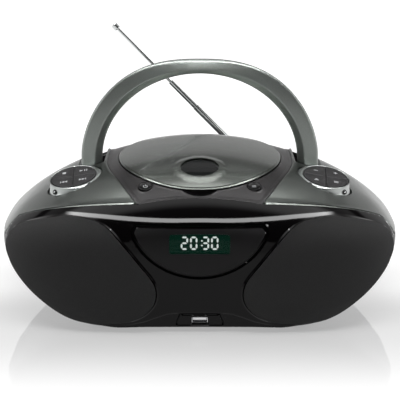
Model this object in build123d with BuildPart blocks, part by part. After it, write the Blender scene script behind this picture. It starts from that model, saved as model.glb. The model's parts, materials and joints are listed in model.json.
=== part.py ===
from build123d import *
import math
import os

# Portable CD and radio boombox, millimetres.  X to the right, Y to the back, Z up,
# origin on the table under the middle of the box that holds it.

# ---- driving dimensions -------------------------------------------------------------
WALL = 2.5                 # moulded wall of every housing
FLOOR_Z = 3.0              # underside of the housing, lifted by the feet
HALF_WIDTH = 173.0
FRONT_DEPTH = 115.0        # furthest front of the housing from X axis
BACK_DEPTH = 116.0
CROWN_Z = 133.6            # highest point of the housing
EQUATOR_Z = 62.8           # widest level of the housing
UNDER_Z = -15.9            # where the round underside would end if it weren't cut flat
CROWN_Y = 40.0             # crown line over the middle
CROWN_SWEEP = 20.5         # the crown line moves forward by this at the ends
SIDE_REACH = HALF_WIDTH + 27.0     # clear of the housing to the sides, top and front
TOP_REACH = CROWN_Z + 26.4
FRONT_REACH = FRONT_DEPTH + 35.0

# exponents of the rounded sections
SPREAD_FRONT = (2.95, 3.3)
SPREAD_BACK = (3.3, 3.3)
SPREAD_TOP = (1.86, 1.47)
SPREAD_UNDER = (3.08, 1.1)
ROUND_TOP_FRONT = 2.66
ROUND_TOP_BACK = 2.23
ROUND_UNDER_FRONT = 6.9
ROUND_UNDER_BACK = 2.6
STATIONS = 13
STATION_END = 84.0         # degrees, how close the end sections come to the tips
SECTION_POINTS = 40

GAP = 0.3                  # clearance between neighbouring covers that don't touch
RUN = 0.05                 # radial running clearance of pins and shafts

# parting of the housings
BROW_SLOPE = 0.47          # the top cover's front edge lies in the plane z + slope*y = level
BROW_LEVEL = 59.1
FACE_SLOPE = 0.8           # the front panel's back edge lies in the plane y = slope*z - set
FACE_SET = 112.0
BELT_Z = 68.0              # top covers above, rear cabinet below
DECK_FRONT = (51.5, -96.8)
DECK_FRONT_MID_Y = -94.2
DECK_WAIST = (73.6, -48.2)
DECK_SIDE = (82.2, -5.0)

# compact disc lid and well
LID_Y = 10.0
LID_HALF_WIDTH = 71.7
LID_FRONT = 96.0           # from LID_Y forward
LID_BACK = 62.0
LID_ROUND = 2.2
LID_SKIN = 2.2
LID_GAP = 0.8
WELL_Z = 104.0
SPINDLE_Y = -12.0
DISC_R = 60.0
DISC_RECESS = 1.5
WINDOW_Y = -55.5
WINDOW_R = 15.6
DISH_R = 21.5
DISH_DEPTH = 0.9
NOTCH_R = 20.0
NOTCH_Y = -72.0
HINGE_Y = 84.0
HINGE_Z = CROWN_Z - 11.6
HINGE_R = 3.5
REAR_GAP = 2.5
HINGE_X = 32.0
HINGE_ARM = 8.0
HINGE_PIN_R = 1.5

# handle
PIVOT_Y = 4.0
PIVOT_Z = 112.0
HANDLE_THICK = 15.0
HANDLE_TOP = 211.5
HANDLE_OUT = 105.3
HANDLE_OUT_Z = 126.0
HANDLE_OUT_ROUND = (1.74, 2.54)
HANDLE_IN = 86.9
HANDLE_IN_Z = 121.7
HANDLE_IN_TOP = 198.8
HUB_R = 9.0
GROOVE_X = (HANDLE_IN - 2.1, HANDLE_OUT + 2.5)
GROOVE_Y = (PIVOT_Y - HUB_R - 1.0, 75.0)
GROOVE_Z = PIVOT_Z - HUB_R - 1.0
PIVOT_PIN_R = 3.5

# antenna
ANTENNA_X = 66.7
ANTENNA_Y = 108.0
ANTENNA_Z = 79.0
ANTENNA_RISE = 45.5        # degrees above the horizontal, towards the left
TROUGH_X = (-88.0, 78.0)
TROUGH_Y = 102.0
TROUGH_Z = 71.0
TUBE_WALL = 0.45
TUBE_R = (3.0, 2.5, 2.0)
TUBE_LENGTH = (94.0, 90.0, 84.0)
TUBE_START = 7.0
TUBE_OUT = (0.0, 34.0, 0.0)      # how far each tube stands out of the one before it
ROD_R = 1.4
ROD_LENGTH = 84.0
ROD_OUT = 76.6
CAP_R = 2.9
CAP_LENGTH = 6.0
KNUCKLE_R = 4.5
KNUCKLE_HALF = 2.4

# speakers
SPEAKER = (97.0, 52.0)
SPEAKER_R = 34.0
SPEAKER_FLANGE_R = 38.5
BAFFLE_Y = -84.0

# display
DISPLAY_TOP = (52.5, 88.3, 91.3)      # half width, corner z, middle z
DISPLAY_LOW = (56.5, 84.5, 47.2)
BEZEL_WIDTH = 3.3
BEZEL_PROUD = 1.0
GLASS = 1.5
LCD = (62.0, 19.0, 75.4)              # width, height, centre z

# key pads
PAD = (109.0, -36.0)
PAD_LIFT = 5.03            # of the pad's middle over the housing
PAD_PITCH = 14.0           # leans forward
PAD_ROLL = 9.0             # leans outward
PAD_R = 19.7
PAD_THICK = 4.0
PAD_TRAVEL = 0.8
PAD_SPLIT = 0.4
SEAT_TOP = (PAD_R + 2.8, 1.9)      # radius, shift towards the middle
SEAT_LOW = (PAD_R + 11.8, 6.1)
SEAT_DEPTH = 16.0
SEAT_SKIN = 6.0            # how far the seat reaches into the housing
SEAT_BACK_Y = GROOVE_Y[0] - WALL

# round keys on the deck
ROUND_KEY = (45.5, -78.0)
ROUND_KEY_R = 5.9
ROUND_KEY_PITCH = 24.0

# battery bay
BAY_X = 54.0
BAY_Y = (22.0, 80.0)
BAY_Z = 60.0
DOOR_THICK = 2.3
DOOR_PIVOT = (24.6, 4.25)
DOOR_PIN_R = 1.1

# sockets
USB = (13.1, 5.7, 14.0)
USB_Z = 7.0
INLET = (-98.0, 27.0)      # x, z
INLET_SIZE = (20.0, 12.0, 14.0)
INLET_WALL_Y = 88.0

FEET = ((-85, -85), (85, -85), (-85, 72), (85, 72))
FOOT_R = 7.0
POSTS = ((-96, 16), (96, 16), (-96, 62), (96, 62))
POST_R = 4.5
SCREW_HEAD_R = 3.2
SCREW_R = 1.6

os.makedirs("parts", exist_ok=True)


# ---- the outer form -----------------------------------------------------------------
def spread(share, powers):
    """How much of a size is left at a share of the half width."""
    return max(0.0, 1 - share ** powers[0]) ** (1 / powers[1])


def section_sizes(x, inset):
    """Crown line, front, back, upper and lower reach of the section at x."""
    share = abs(x) / (HALF_WIDTH - inset)
    crown = CROWN_Y - CROWN_SWEEP * share ** 2
    front = (CROWN_Y + FRONT_DEPTH - inset) * spread(share, SPREAD_FRONT)
    back = (BACK_DEPTH - CROWN_Y - inset) * spread(share, SPREAD_BACK)
    upper = (CROWN_Z - EQUATOR_Z - inset) * spread(share, SPREAD_TOP)
    lower = (EQUATOR_Z - UNDER_Z - inset) * spread(share, SPREAD_UNDER)
    return crown, front, back, upper, lower


def section_points(x, inset):
    crown, front, back, upper, lower = section_sizes(x, inset)
    points = []
    for i in range(SECTION_POINTS):
        turn = 2 * math.pi * (i + 0.5) / SECTION_POINTS
        c, s = math.cos(turn), math.sin(turn)
        if s > 0:
            power = ROUND_TOP_BACK if c > 0 else ROUND_TOP_FRONT
        else:
            power = ROUND_UNDER_BACK if c > 0 else ROUND_UNDER_FRONT
        y = crown + math.copysign(abs(c) ** (2 / power), c) * (back if c > 0 else front)
        z = EQUATOR_Z + math.copysign(abs(s) ** (2 / power), s) * (upper if s > 0 else lower)
        points.append((y, z))
    return points


def top_height(x, y, inset=0.0):
    """Height of the outer form over a point of the plan."""
    crown, front, back, upper, _ = section_sizes(x, inset)
    reach, power = (back, ROUND_TOP_BACK) if y > crown else (front, ROUND_TOP_FRONT)
    return EQUATOR_Z + upper * (1 - min(1.0, abs(y - crown) / reach) ** power) ** (1 / power)


def form(inset):
    """The closed outer form, drawn in by inset all round."""
    with BuildPart() as body:
        for i in range(STATIONS):
            angle = math.radians(STATION_END * (2 * i / (STATIONS - 1) - 1))
            x = (HALF_WIDTH - inset) * math.sin(angle)
            with BuildSketch(Plane.YZ.offset(x)):
                with BuildLine():
                    Spline(*section_points(x, inset), periodic=True)
                make_face()
        loft()
        split(bisect_by=Plane.XY.offset(FLOOR_Z + inset), keep=Keep.TOP)
    return body.part


def clip_prism(outline, low, high):
    """A plan outline as a solid from low to high."""
    with BuildPart() as prism:
        with BuildSketch(Plane.XY.offset(low)):
            add(outline)
        extrude(amount=high - low)
    return prism.part


def front_prism(outline, front, back):
    """A front view outline as a solid from front to back."""
    with BuildPart() as prism:
        with BuildSketch(Plane.XZ.offset(-back)):
            add(outline)
        extrude(amount=back - front)
    return prism.part


def common(first, second):
    with BuildPart() as shared:
        add(first)
        add(second, mode=Mode.INTERSECT)
    return shared.part


def skin(outer, inner, region):
    """The layer of the form between two insets, inside a region."""
    with BuildPart() as layer:
        add(region)
        add(outer, mode=Mode.INTERSECT)
        add(inner, mode=Mode.SUBTRACT)
    return layer.part


def block(x, y, z):
    """A box given by its lowest and highest values along each axis."""
    with BuildPart() as box:
        with Locations(((x[0] + x[1]) / 2, (y[0] + y[1]) / 2, (z[0] + z[1]) / 2)):
            Box(x[1] - x[0], y[1] - y[0], z[1] - z[0])
    return box.part


def rod(start, end, radius):
    """A round bar between two points."""
    line = Vector(*end) - Vector(*start)
    with BuildPart() as bar:
        with BuildSketch(Plane(origin=start, z_dir=line)):
            Circle(radius)
        extrude(amount=line.length)
    return bar.part


# ---- outlines -----------------------------------------------------------------------
def egg_outline(margin, back):
    """Plan of the lid: blunt to the back, drawn out to the front."""
    points = []
    for i in range(48):
        turn = 2 * math.pi * i / 48
        c, s = math.cos(turn), math.sin(turn)
        reach = back if s > 0 else LID_FRONT
        power = 2.0 if s > 0 else LID_ROUND
        points.append(((LID_HALF_WIDTH + margin) * math.copysign(abs(c) ** (2 / power), c),
                       LID_Y + (reach + margin) * math.copysign(abs(s) ** (2 / power), s)))
    with BuildSketch() as egg:
        with BuildLine():
            Spline(*points, periodic=True)
        make_face()
    return egg.sketch


def deck_outline():
    """Plan of the centre deck, narrow at the brow and wide at the handle."""
    end_y = 140
    with BuildSketch() as deck:
        with BuildLine():
            ThreePointArc((-DECK_FRONT[0], DECK_FRONT[1]), (0, DECK_FRONT_MID_Y), DECK_FRONT)
            ThreePointArc(DECK_FRONT, DECK_WAIST, DECK_SIDE)
            Polyline(DECK_SIDE, (DECK_SIDE[0], end_y), (-DECK_SIDE[0], end_y),
                     (-DECK_SIDE[0], DECK_SIDE[1]))
            ThreePointArc((-DECK_SIDE[0], DECK_SIDE[1]), (-DECK_WAIST[0], DECK_WAIST[1]),
                          (-DECK_FRONT[0], DECK_FRONT[1]))
        make_face()
    return deck.sketch


GRILLE = ((159.0, 64.0), (152.0, 76.0), (124.0, 87.0), (100.0, 90.5), (79.0, 86.8),
          (64.5, 74.0), (50.8, 57.5), (38.6, 40.0), (38.8, 27.0), (50.0, 15.6), (72.0, 10.6),
          (103.0, 13.0), (127.0, 25.8), (149.8, 46.2))


def grille_outline(side, margin):
    """Front view of a speaker opening, its points moved outward by margin."""
    points = []
    for i, (x, z) in enumerate(GRILLE):
        (x_before, z_before), (x_after, z_after) = GRILLE[i - 1], GRILLE[(i + 1) % len(GRILLE)]
        run = math.hypot(x_after - x_before, z_after - z_before)
        points.append((side * (x + margin * (z_after - z_before) / run),
                       z - margin * (x_after - x_before) / run))
    with BuildSketch() as opening:
        with BuildLine():
            Spline(*points, periodic=True)
        make_face()
    return opening.sketch


def display_outline(margin):
    """Front view of the half-moon display."""
    width, corner_z, mid_z = DISPLAY_TOP
    low_width, low_corner_z, low_z = DISPLAY_LOW
    with BuildSketch() as moon:
        with BuildLine():
            ThreePointArc((-width, corner_z), (0, mid_z), (width, corner_z))
            Line((width, corner_z), (low_width, low_corner_z))
            ThreePointArc((low_width, low_corner_z), (0, low_z), (-low_width, low_corner_z))
            Line((-low_width, low_corner_z), (-width, corner_z))
        make_face()
        if margin:
            offset(amount=margin)
    return moon.sketch


def usb_outline(margin):
    top_half, low_half, top_z, low_z = 16.0, 20.0, 15.7, 6.2
    with BuildSketch() as plate:
        with BuildLine():
            Polyline((-low_half, low_z), (low_half, low_z), (top_half, top_z),
                     (-top_half, top_z), close=True)
        make_face()
        if margin:
            offset(amount=margin)
    return plate.sketch


# ---- planes of the keys -------------------------------------------------------------
def pad_plane(side):
    """Plane of a key pad's top, its Z out of the housing."""
    roll = side * math.tan(math.radians(PAD_ROLL))
    pitch = math.tan(math.radians(PAD_PITCH))
    return Plane(origin=(side * PAD[0], PAD[1], top_height(*PAD) + PAD_LIFT), x_dir=(1, 0, -roll),
                 z_dir=(roll, -pitch, 1))


def seat_cone(side):
    """The flared ring round a key pad, cut off flat in front of the handle's groove."""
    place = pad_plane(side)
    with BuildPart() as cone:
        for depth, (radius, shift) in ((SEAT_DEPTH, SEAT_LOW), (0, SEAT_TOP)):
            with BuildSketch(place.offset(-depth)):
                with Locations((-side * shift, 0)):
                    Circle(radius)
        loft()
        split(bisect_by=Plane.XZ.offset(-SEAT_BACK_Y), keep=Keep.TOP)
    return cone.part


def round_key_plane(side):
    x, y = side * ROUND_KEY[0], ROUND_KEY[1]
    pitch = math.tan(math.radians(ROUND_KEY_PITCH))
    return Plane(origin=(x, y, top_height(x, y)), x_dir=(1, 0, 0), z_dir=(0, -pitch, 1))


# ---- hollows pressed into the housing -----------------------------------------------
def recesses(grow):
    """Every pocket in the outside of the housing, larger all round by grow."""
    over = TOP_REACH
    with BuildPart() as pockets:
        add(clip_prism(egg_outline(LID_GAP + grow, LID_BACK + REAR_GAP), WELL_Z - grow, over))
        with BuildSketch(Plane.XY.offset(WELL_Z + 1 - grow)):
            with Locations((0, NOTCH_Y)):
                Circle(NOTCH_R + grow)
        extrude(amount=over - WELL_Z)
        with BuildSketch(Plane.XY.offset(WELL_Z - DISC_RECESS - grow)):
            with Locations((0, SPINDLE_Y)):
                Circle(DISC_R + 2 + grow)
        extrude(amount=5)
        for side in (-1, 1):
            xs = sorted((side * (GROOVE_X[0] - grow), side * (GROOVE_X[1] + grow)))
            add(block(xs, (GROOVE_Y[0] - grow, GROOVE_Y[1] + grow), (GROOVE_Z - grow, over)))
            with BuildSketch(round_key_plane(side).offset(-6.2 - grow)):
                Circle(ROUND_KEY_R + GAP + grow)
            extrude(amount=20)
        add(block((TROUGH_X[0] - grow, TROUGH_X[1] + grow), (TROUGH_Y - grow, over),
                  (TROUGH_Z - grow, over)))
        add(block((INLET[0] - 14 - grow, INLET[0] + 14 + grow), (INLET_WALL_Y - grow, over),
                  (INLET[1] - 10 - grow, INLET[1] + 10 + grow)))
        add(block((-BAY_X - grow, BAY_X + grow), (BAY_Y[0] - grow, BAY_Y[1] + grow),
                  (-50, BAY_Z + grow)))
    return pockets.part


def housing_wall(outer, inner):
    """The whole housing as one wall, before it is parted."""
    with BuildPart() as pocket_walls:
        add(recesses(WALL))
        add(outer, mode=Mode.INTERSECT)
    with BuildPart() as wall:
        add(outer)
        add(inner, mode=Mode.SUBTRACT)
        add(pocket_walls.part)
        add(recesses(0), mode=Mode.SUBTRACT)
    return wall.part


def panel_region():
    """Everything in front of the front panel's back edge and under the brow."""
    reach = FRONT_REACH
    corner_z = (BROW_LEVEL + BROW_SLOPE * FACE_SET) / (1 + BROW_SLOPE * FACE_SLOPE)
    corner_y = FACE_SLOPE * corner_z - FACE_SET
    low_z = -30
    with BuildPart() as region:
        with BuildSketch(Plane.YZ.offset(-SIDE_REACH)):
            with BuildLine():
                Polyline((corner_y, corner_z), (-reach, BROW_LEVEL + BROW_SLOPE * reach),
                         (-reach, low_z), (FACE_SLOPE * low_z - FACE_SET, low_z), close=True)
            make_face()
        extrude(amount=2 * SIDE_REACH)
        add(block((-DECK_FRONT[0], DECK_FRONT[0]), (-reach, -86), (96, 125)))
        add(clip_prism(deck_outline(), BELT_Z, TOP_REACH), mode=Mode.SUBTRACT)
    return region.part


outer_form = form(0)
inner_form = form(WALL)
wall = housing_wall(outer_form, inner_form)
panel_space = panel_region()
deck_space = clip_prism(deck_outline(), BELT_Z, TOP_REACH)


def save(builder, name):
    """Label a finished piece and write its STEP file."""
    builder.part.label = name
    export_step(builder.part, f"parts/{name}.step")
    print(f"{name:22s} {len(builder.part.solids()):2d} solids {builder.part.volume:11.1f} mm3")


# ---- rear cabinet -------------------------------------------------------------------
BOARD_POSTS = ((-54, -72), (54, -72), (-54, 2), (54, 2))
BOARD_Z = 15.0
BOARD_THICK = 1.6
POST_TOP = 20.0

with BuildPart() as rear_cabinet:
    add(common(wall, block((-SIDE_REACH, SIDE_REACH), (-200, 200), (-10, BELT_Z))))
    add(panel_space, mode=Mode.SUBTRACT)
    for x, y in POSTS:
        add(rod((x, y, FLOOR_Z + 1), (x, y, POST_TOP), POST_R))
    for x, y in BOARD_POSTS:
        add(rod((x, y, FLOOR_Z + 1), (x, y, BOARD_Z), 3.5))
    for x, y in POSTS:
        add(rod((x, y, -1), (x, y, FLOOR_Z + 2.3), SCREW_HEAD_R + GAP), mode=Mode.SUBTRACT)
        add(rod((x, y, 0), (x, y, POST_TOP + 1), SCREW_R + 0.2), mode=Mode.SUBTRACT)
    for side in (-1, 1):
        add(rod((side * (BAY_X - 1), DOOR_PIVOT[0], DOOR_PIVOT[1]),
                (side * (BAY_X + 1.6), DOOR_PIVOT[0], DOOR_PIVOT[1]), DOOR_PIN_R + RUN),
            mode=Mode.SUBTRACT)
    add(block((INLET[0] - INLET_SIZE[0] / 2, INLET[0] + INLET_SIZE[0] / 2),
              (INLET_WALL_Y - 6, INLET_WALL_Y + 2),
              (INLET[1] - INLET_SIZE[1] / 2, INLET[1] + INLET_SIZE[1] / 2)),
        mode=Mode.SUBTRACT)
save(rear_cabinet, "rear_cabinet")

# ---- front panel with its speaker baffles -------------------------------------------
BAFFLE_X = (36.0, 142.0)
BAFFLE_Z = (7.0, 98.0)
BAFFLE_POSTS = ((72, 91), (31, 38), (112, 96), (48, 9))
SEAT_IN_WALL = 1.0         # posts end this deep under the outer surface

post_form = form(SEAT_IN_WALL)
baffle_form = form(WALL + 1.0)
with BuildPart() as baffles:
    for side in (-1, 1):
        xs = sorted((side * BAFFLE_X[0], side * BAFFLE_X[1]))
        add(block(xs, (BAFFLE_Y - WALL, BAFFLE_Y), BAFFLE_Z))
    add(baffle_form, mode=Mode.INTERSECT)
    for side in (-1, 1):
        add(rod((side * SPEAKER[0], BAFFLE_Y - 10, SPEAKER[1]),
                (side * SPEAKER[0], BAFFLE_Y + 1, SPEAKER[1]), SPEAKER_R), mode=Mode.SUBTRACT)

DISPLAY_POSTS = ((-60, 90), (60, 90), (-43.5, 61), (43.5, 61))
DISPLAY_BOARD_Y = -103.5
with BuildPart() as inner_posts:
    for x, z in DISPLAY_POSTS:
        add(rod((x, -125, z), (x, DISPLAY_BOARD_Y, z), 2.5))
    for side in (-1, 1):
        for x, z in BAFFLE_POSTS:
            add(rod((side * x, -125, z), (side * x, BAFFLE_Y - 0.5, z), 2.5))
    add(post_form, mode=Mode.INTERSECT)

with BuildPart() as front_panel:
    add(common(wall, panel_space))
    for side in (-1, 1):
        add(front_prism(grille_outline(side, 0), -FRONT_REACH, -60), mode=Mode.SUBTRACT)
    add(inner_posts.part)
    add(baffles.part)
    add(front_prism(display_outline(RUN), -FRONT_REACH, -104), mode=Mode.SUBTRACT)
    add(front_prism(usb_outline(RUN), -FRONT_REACH, -106), mode=Mode.SUBTRACT)
save(front_panel, "front_panel")

# ---- top covers ---------------------------------------------------------------------
for side, name in ((-1, "top_cover_left"), (1, "top_cover_right")):
    half = block(sorted((0, side * SIDE_REACH)), (-200, 200), (BELT_Z, TOP_REACH))
    with BuildPart() as top_cover:
        add(common(wall, half))
        add(panel_space, mode=Mode.SUBTRACT)
        add(deck_space, mode=Mode.SUBTRACT)
        for x, y in POSTS:
            if x * side > 0:
                add(rod((x, y, POST_TOP), (x, y, GROOVE_Z - 1), POST_R))
                add(rod((x, y, 0), (x, y, POST_TOP + 12), SCREW_R), mode=Mode.SUBTRACT)
        add(rod((side * 80, PIVOT_Y, PIVOT_Z), (side * (GROOVE_X[1] + WALL), PIVOT_Y, PIVOT_Z),
                PIVOT_PIN_R), mode=Mode.SUBTRACT)
        add(seat_cone(side), mode=Mode.SUBTRACT)
    save(top_cover, name)

# ---- centre deck --------------------------------------------------------------------
LENS_X = 23.0
SLED_TRAVEL = 34.0
FLOOR_SLOT_X = (-19.0, LENS_X + SLED_TRAVEL + 5.0)
FLOOR_SLOT_Y = (-30.0, 6.0)
GROMMETS = ((-27, -30), (71, -30), (-27, 18), (71, 18))
GROMMET_TOP = 95.0
PLATE_Z = 90.0
PLATE_THICK = 1.5

HINGE_SLOT = HINGE_ARM / 2 + 0.5

with BuildPart() as centre_deck:
    add(common(wall, deck_space))
    for x in (-HINGE_X, HINGE_X):
        add(common(block((x - HINGE_SLOT - 4, x + HINGE_SLOT + 4), (HINGE_Y - 6, HINGE_Y + 6),
                         (HINGE_Z - 8, HINGE_Z + 2)), outer_form))
        add(rod((x - HINGE_SLOT - 4, HINGE_Y, HINGE_Z), (x + HINGE_SLOT + 4, HINGE_Y, HINGE_Z), HINGE_R))
    for x, y in GROMMETS:
        add(rod((x, y, GROMMET_TOP), (x, y, WELL_Z - 1.8), 4.5))
    for x in (-HINGE_X, HINGE_X):
        add(block((x - HINGE_SLOT, x + HINGE_SLOT), (55, HINGE_Y + 7), (HINGE_Z - 11, TOP_REACH)),
            mode=Mode.SUBTRACT)
        add(rod((x - 20, HINGE_Y, HINGE_Z), (x + 20, HINGE_Y, HINGE_Z), HINGE_PIN_R + RUN),
            mode=Mode.SUBTRACT)
    add(block(FLOOR_SLOT_X, FLOOR_SLOT_Y, (PLATE_Z, WELL_Z + 1)), mode=Mode.SUBTRACT)
    for side in (-1, 1):
        with BuildSketch(round_key_plane(side).offset(-12)):
            Circle(2.5)
        extrude(amount=10, mode=Mode.SUBTRACT)
    add(rod((ANTENNA_X, TROUGH_Y - 5, ANTENNA_Z), (ANTENNA_X, TROUGH_Y + 1, ANTENNA_Z),
            3.0 + RUN), mode=Mode.SUBTRACT)
save(centre_deck, "centre_deck")

# ---- grilles, bezel, display --------------------------------------------------------
bezel_form = form(-BEZEL_PROUD)
grille_form = form(0.8)
grille_back_form = form(2.2)
glass_form = form(0.2)
glass_back_form = form(0.2 + GLASS)

for side, name in ((-1, "grille_left"), (1, "grille_right")):
    with BuildPart() as grille:
        add(skin(grille_form, grille_back_form,
                 front_prism(grille_outline(side, -GAP), -130, -60)))
    save(grille, name)

with BuildPart() as display_bezel:
    add(skin(bezel_form, inner_form, front_prism(display_outline(0), -130, -60)))
    add(front_prism(display_outline(-BEZEL_WIDTH), -140, -50), mode=Mode.SUBTRACT)
save(display_bezel, "display_bezel")

with BuildPart() as display_window:
    add(skin(glass_form, glass_back_form,
             front_prism(display_outline(-BEZEL_WIDTH - RUN), -130, -60)))
save(display_window, "display_window")

LCD_THICK = 6.0
DISPLAY_BOARD = ((-64, 93), (64, 93), (64, 80), (47, 57), (-47, 57), (-64, 80))
with BuildPart() as lcd_module:
    with BuildSketch(Plane.XZ.offset(-DISPLAY_BOARD_Y)):
        with Locations((0, LCD[2])):
            RectangleRounded(LCD[0], LCD[1], 1.0)
    extrude(amount=LCD_THICK)
    with BuildSketch(Plane.XZ.offset(-DISPLAY_BOARD_Y + LCD_THICK)):
        with Locations((0, LCD[2])):
            Rectangle(LCD[0] - 4, LCD[1] - 4)
    extrude(amount=-0.8, mode=Mode.SUBTRACT)
save(lcd_module, "lcd_module")

with BuildPart() as display_board:
    with BuildSketch(Plane.XZ.offset(-DISPLAY_BOARD_Y)):
        with BuildLine():
            Polyline(*DISPLAY_BOARD, close=True)
        make_face()
    extrude(amount=-BOARD_THICK)
    with BuildSketch(Plane.XZ.offset(-DISPLAY_BOARD_Y - BOARD_THICK)):
        with Locations((-20, 80), (12, 76)):
            Rectangle(14, 9)
        with Locations((34, 84)):
            Rectangle(10, 12)
    extrude(amount=-2.0)
save(display_board, "display_board")

# ---- USB socket ---------------------------------------------------------------------
USB_WALL = 0.4
usb_width, usb_height, usb_depth = USB
usb_mid_z = USB_Z + usb_height / 2
USB_MOUTH_Y = -113.6

with BuildPart() as usb_panel:
    add(skin(form(-0.4), inner_form, front_prism(usb_outline(0), -130, -60)))
    add(block((-usb_width / 2 - 0.1, usb_width / 2 + 0.1), (-140, -100),
              (USB_Z - 0.1, USB_Z + usb_height + 0.1)), mode=Mode.SUBTRACT)
save(usb_panel, "usb_panel")

with BuildPart() as usb_socket:
    add(block((-usb_width / 2, usb_width / 2), (USB_MOUTH_Y, USB_MOUTH_Y + usb_depth),
              (USB_Z, USB_Z + usb_height)))
    add(block((-usb_width / 2 + USB_WALL, usb_width / 2 - USB_WALL),
              (USB_MOUTH_Y - 1, USB_MOUTH_Y + usb_depth - USB_WALL),
              (USB_Z + USB_WALL, USB_Z + usb_height - USB_WALL)), mode=Mode.SUBTRACT)
    add(block((-5.6, 5.6), (USB_MOUTH_Y + 1.0, USB_MOUTH_Y + usb_depth - 0.2),
              (usb_mid_z + 0.2, usb_mid_z + 2.0)))
save(usb_socket, "usb_socket")

with BuildPart() as usb_board:
    add(block((-14, 14), (-108.5, -88), (FLOOR_Z + WALL, USB_Z)))
save(usb_board, "usb_board")

# ---- speakers -----------------------------------------------------------------------
BASKET_DEPTH = 20.0
MAGNET_R = 22.0
MAGNET_THICK = 12.0
SPEAKER_STEEL = 1.2


def speaker_plane(side):
    """Plane on the back of the baffle, its Z to the back."""
    return Plane(origin=(side * SPEAKER[0], BAFFLE_Y, SPEAKER[1]), x_dir=(1, 0, 0),
                 z_dir=(0, 1, 0))


def turned(plane, outline):
    """A solid turned from an outline of (radius, height) points about a plane's Z."""
    section = Plane(origin=plane.origin, x_dir=plane.x_dir, z_dir=-plane.y_dir)
    with BuildPart() as solid:
        with BuildSketch(section):
            with BuildLine():
                Polyline(*outline, close=True)
            make_face()
        revolve(axis=Axis(plane.origin, plane.z_dir))
    return solid.part


for side, tag in ((-1, "left"), (1, "right")):
    place = speaker_plane(side)
    flange, throat = SPEAKER_FLANGE_R, MAGNET_R
    with BuildPart() as speaker_basket:
        add(turned(place, (
            (flange, 0), (flange, SPEAKER_STEEL), (34.5, SPEAKER_STEEL), (32, 9),
            (throat, BASKET_DEPTH), (9, BASKET_DEPTH), (9, BASKET_DEPTH - SPEAKER_STEEL),
            (throat - 1, BASKET_DEPTH - SPEAKER_STEEL), (31, 9), (33.4, 0))))
    save(speaker_basket, f"speaker_basket_{tag}")
    with BuildPart() as speaker_cone:
        add(turned(place, (
            (32.8, 0.2), (31.8, -1.6), (30.2, -1.6), (29, 0.6), (12, 12), (9, 9.2), (5, 7.6),
            (0, 7.0), (0, 7.8), (5, 8.4), (8.7, 10), (8.7, 18), (9.4, 18), (12.4, 13),
            (30, 1.4), (30.8, -0.8), (31.4, -0.8), (32.4, 1.0), (32.8, 1.0))))
    save(speaker_cone, f"speaker_cone_{tag}")
    with BuildPart() as speaker_magnet:
        add(turned(place, (
            (0, BASKET_DEPTH), (MAGNET_R, BASKET_DEPTH), (MAGNET_R, BASKET_DEPTH + 2),
            (MAGNET_R - 2, BASKET_DEPTH + 2), (MAGNET_R - 2, BASKET_DEPTH + MAGNET_THICK - 2),
            (MAGNET_R, BASKET_DEPTH + MAGNET_THICK - 2), (MAGNET_R, BASKET_DEPTH + MAGNET_THICK),
            (0, BASKET_DEPTH + MAGNET_THICK))))
    save(speaker_magnet, f"speaker_magnet_{tag}")

# ---- key pads -----------------------------------------------------------------------
seat_under = form(SEAT_SKIN)
KEY_PROUD = 1.4
KEY_CLEAR = 0.2
KEY_NAMES = ("rear_right", "rear_left", "front_left", "front_right")

for side, tag in ((-1, "left"), (1, "right")):
    place = pad_plane(side)
    cup_floor = KEY_PROUD - PAD_THICK - PAD_TRAVEL - KEY_CLEAR
    with BuildPart() as pad_seat:
        add(seat_cone(side))
        add(seat_under, mode=Mode.SUBTRACT)
        with BuildSketch(place.offset(cup_floor)):
            Circle(PAD_R + GAP)
        extrude(amount=20, mode=Mode.SUBTRACT)
        with BuildSketch(place.offset(cup_floor - 2)):
            Circle(PAD_R - 1)
        extrude(amount=-20, mode=Mode.SUBTRACT)
    save(pad_seat, f"pad_seat_{tag}")
    for i, key_name in enumerate(KEY_NAMES):
        with BuildPart() as pad_key:
            with BuildSketch(place.offset(KEY_PROUD - PAD_THICK)):
                Circle(PAD_R)
                with Locations(Rotation(0, 0, 90 * i) * Pos(PAD_R, PAD_R)):
                    Rectangle(2 * PAD_R - PAD_SPLIT, 2 * PAD_R - PAD_SPLIT,
                              mode=Mode.INTERSECT)
            extrude(amount=PAD_THICK)
            chamfer(pad_key.faces().sort_by(Axis.Z)[-1].edges(), length=0.4)
        save(pad_key, f"key_{tag}_{key_name}")

# ---- round keys on the deck ---------------------------------------------------------
ROUND_KEY_PROUD = 0.6
ROUND_KEY_LENGTH = 4.6
for side, name in ((-1, "power_button"), (1, "source_button")):
    place = round_key_plane(side)
    with BuildPart() as round_key:
        with BuildSketch(place.offset(ROUND_KEY_PROUD - ROUND_KEY_LENGTH)):
            Circle(ROUND_KEY_R)
        extrude(amount=ROUND_KEY_LENGTH)
        fillet(round_key.edges().group_by(Axis((0, 0, 0), place.z_dir))[-1], radius=0.8)
        with BuildSketch(place.offset(ROUND_KEY_PROUD - ROUND_KEY_LENGTH)):
            Circle(2.3)
        extrude(amount=-5.0)
    save(round_key, name)

# ---- lid ----------------------------------------------------------------------------
lid_under_form = form(LID_SKIN)
with BuildPart() as lid_arms:
    for x in (-HINGE_X, HINGE_X):
        with BuildSketch(Plane.YZ.offset(x - HINGE_ARM / 2)):
            with BuildLine():
                Polyline((46, HINGE_Z + 3), (64, HINGE_Z + 1), (HINGE_Y, HINGE_Z - HINGE_R),
                         (HINGE_Y, HINGE_Z + HINGE_R), (64, HINGE_Z + 8), (46, HINGE_Z + 9), close=True)
            make_face()
        extrude(amount=HINGE_ARM)
    add(form(0.8), mode=Mode.INTERSECT)
    for x in (-HINGE_X, HINGE_X):
        add(rod((x - HINGE_ARM / 2, HINGE_Y, HINGE_Z), (x + HINGE_ARM / 2, HINGE_Y, HINGE_Z),
                HINGE_R))

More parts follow.
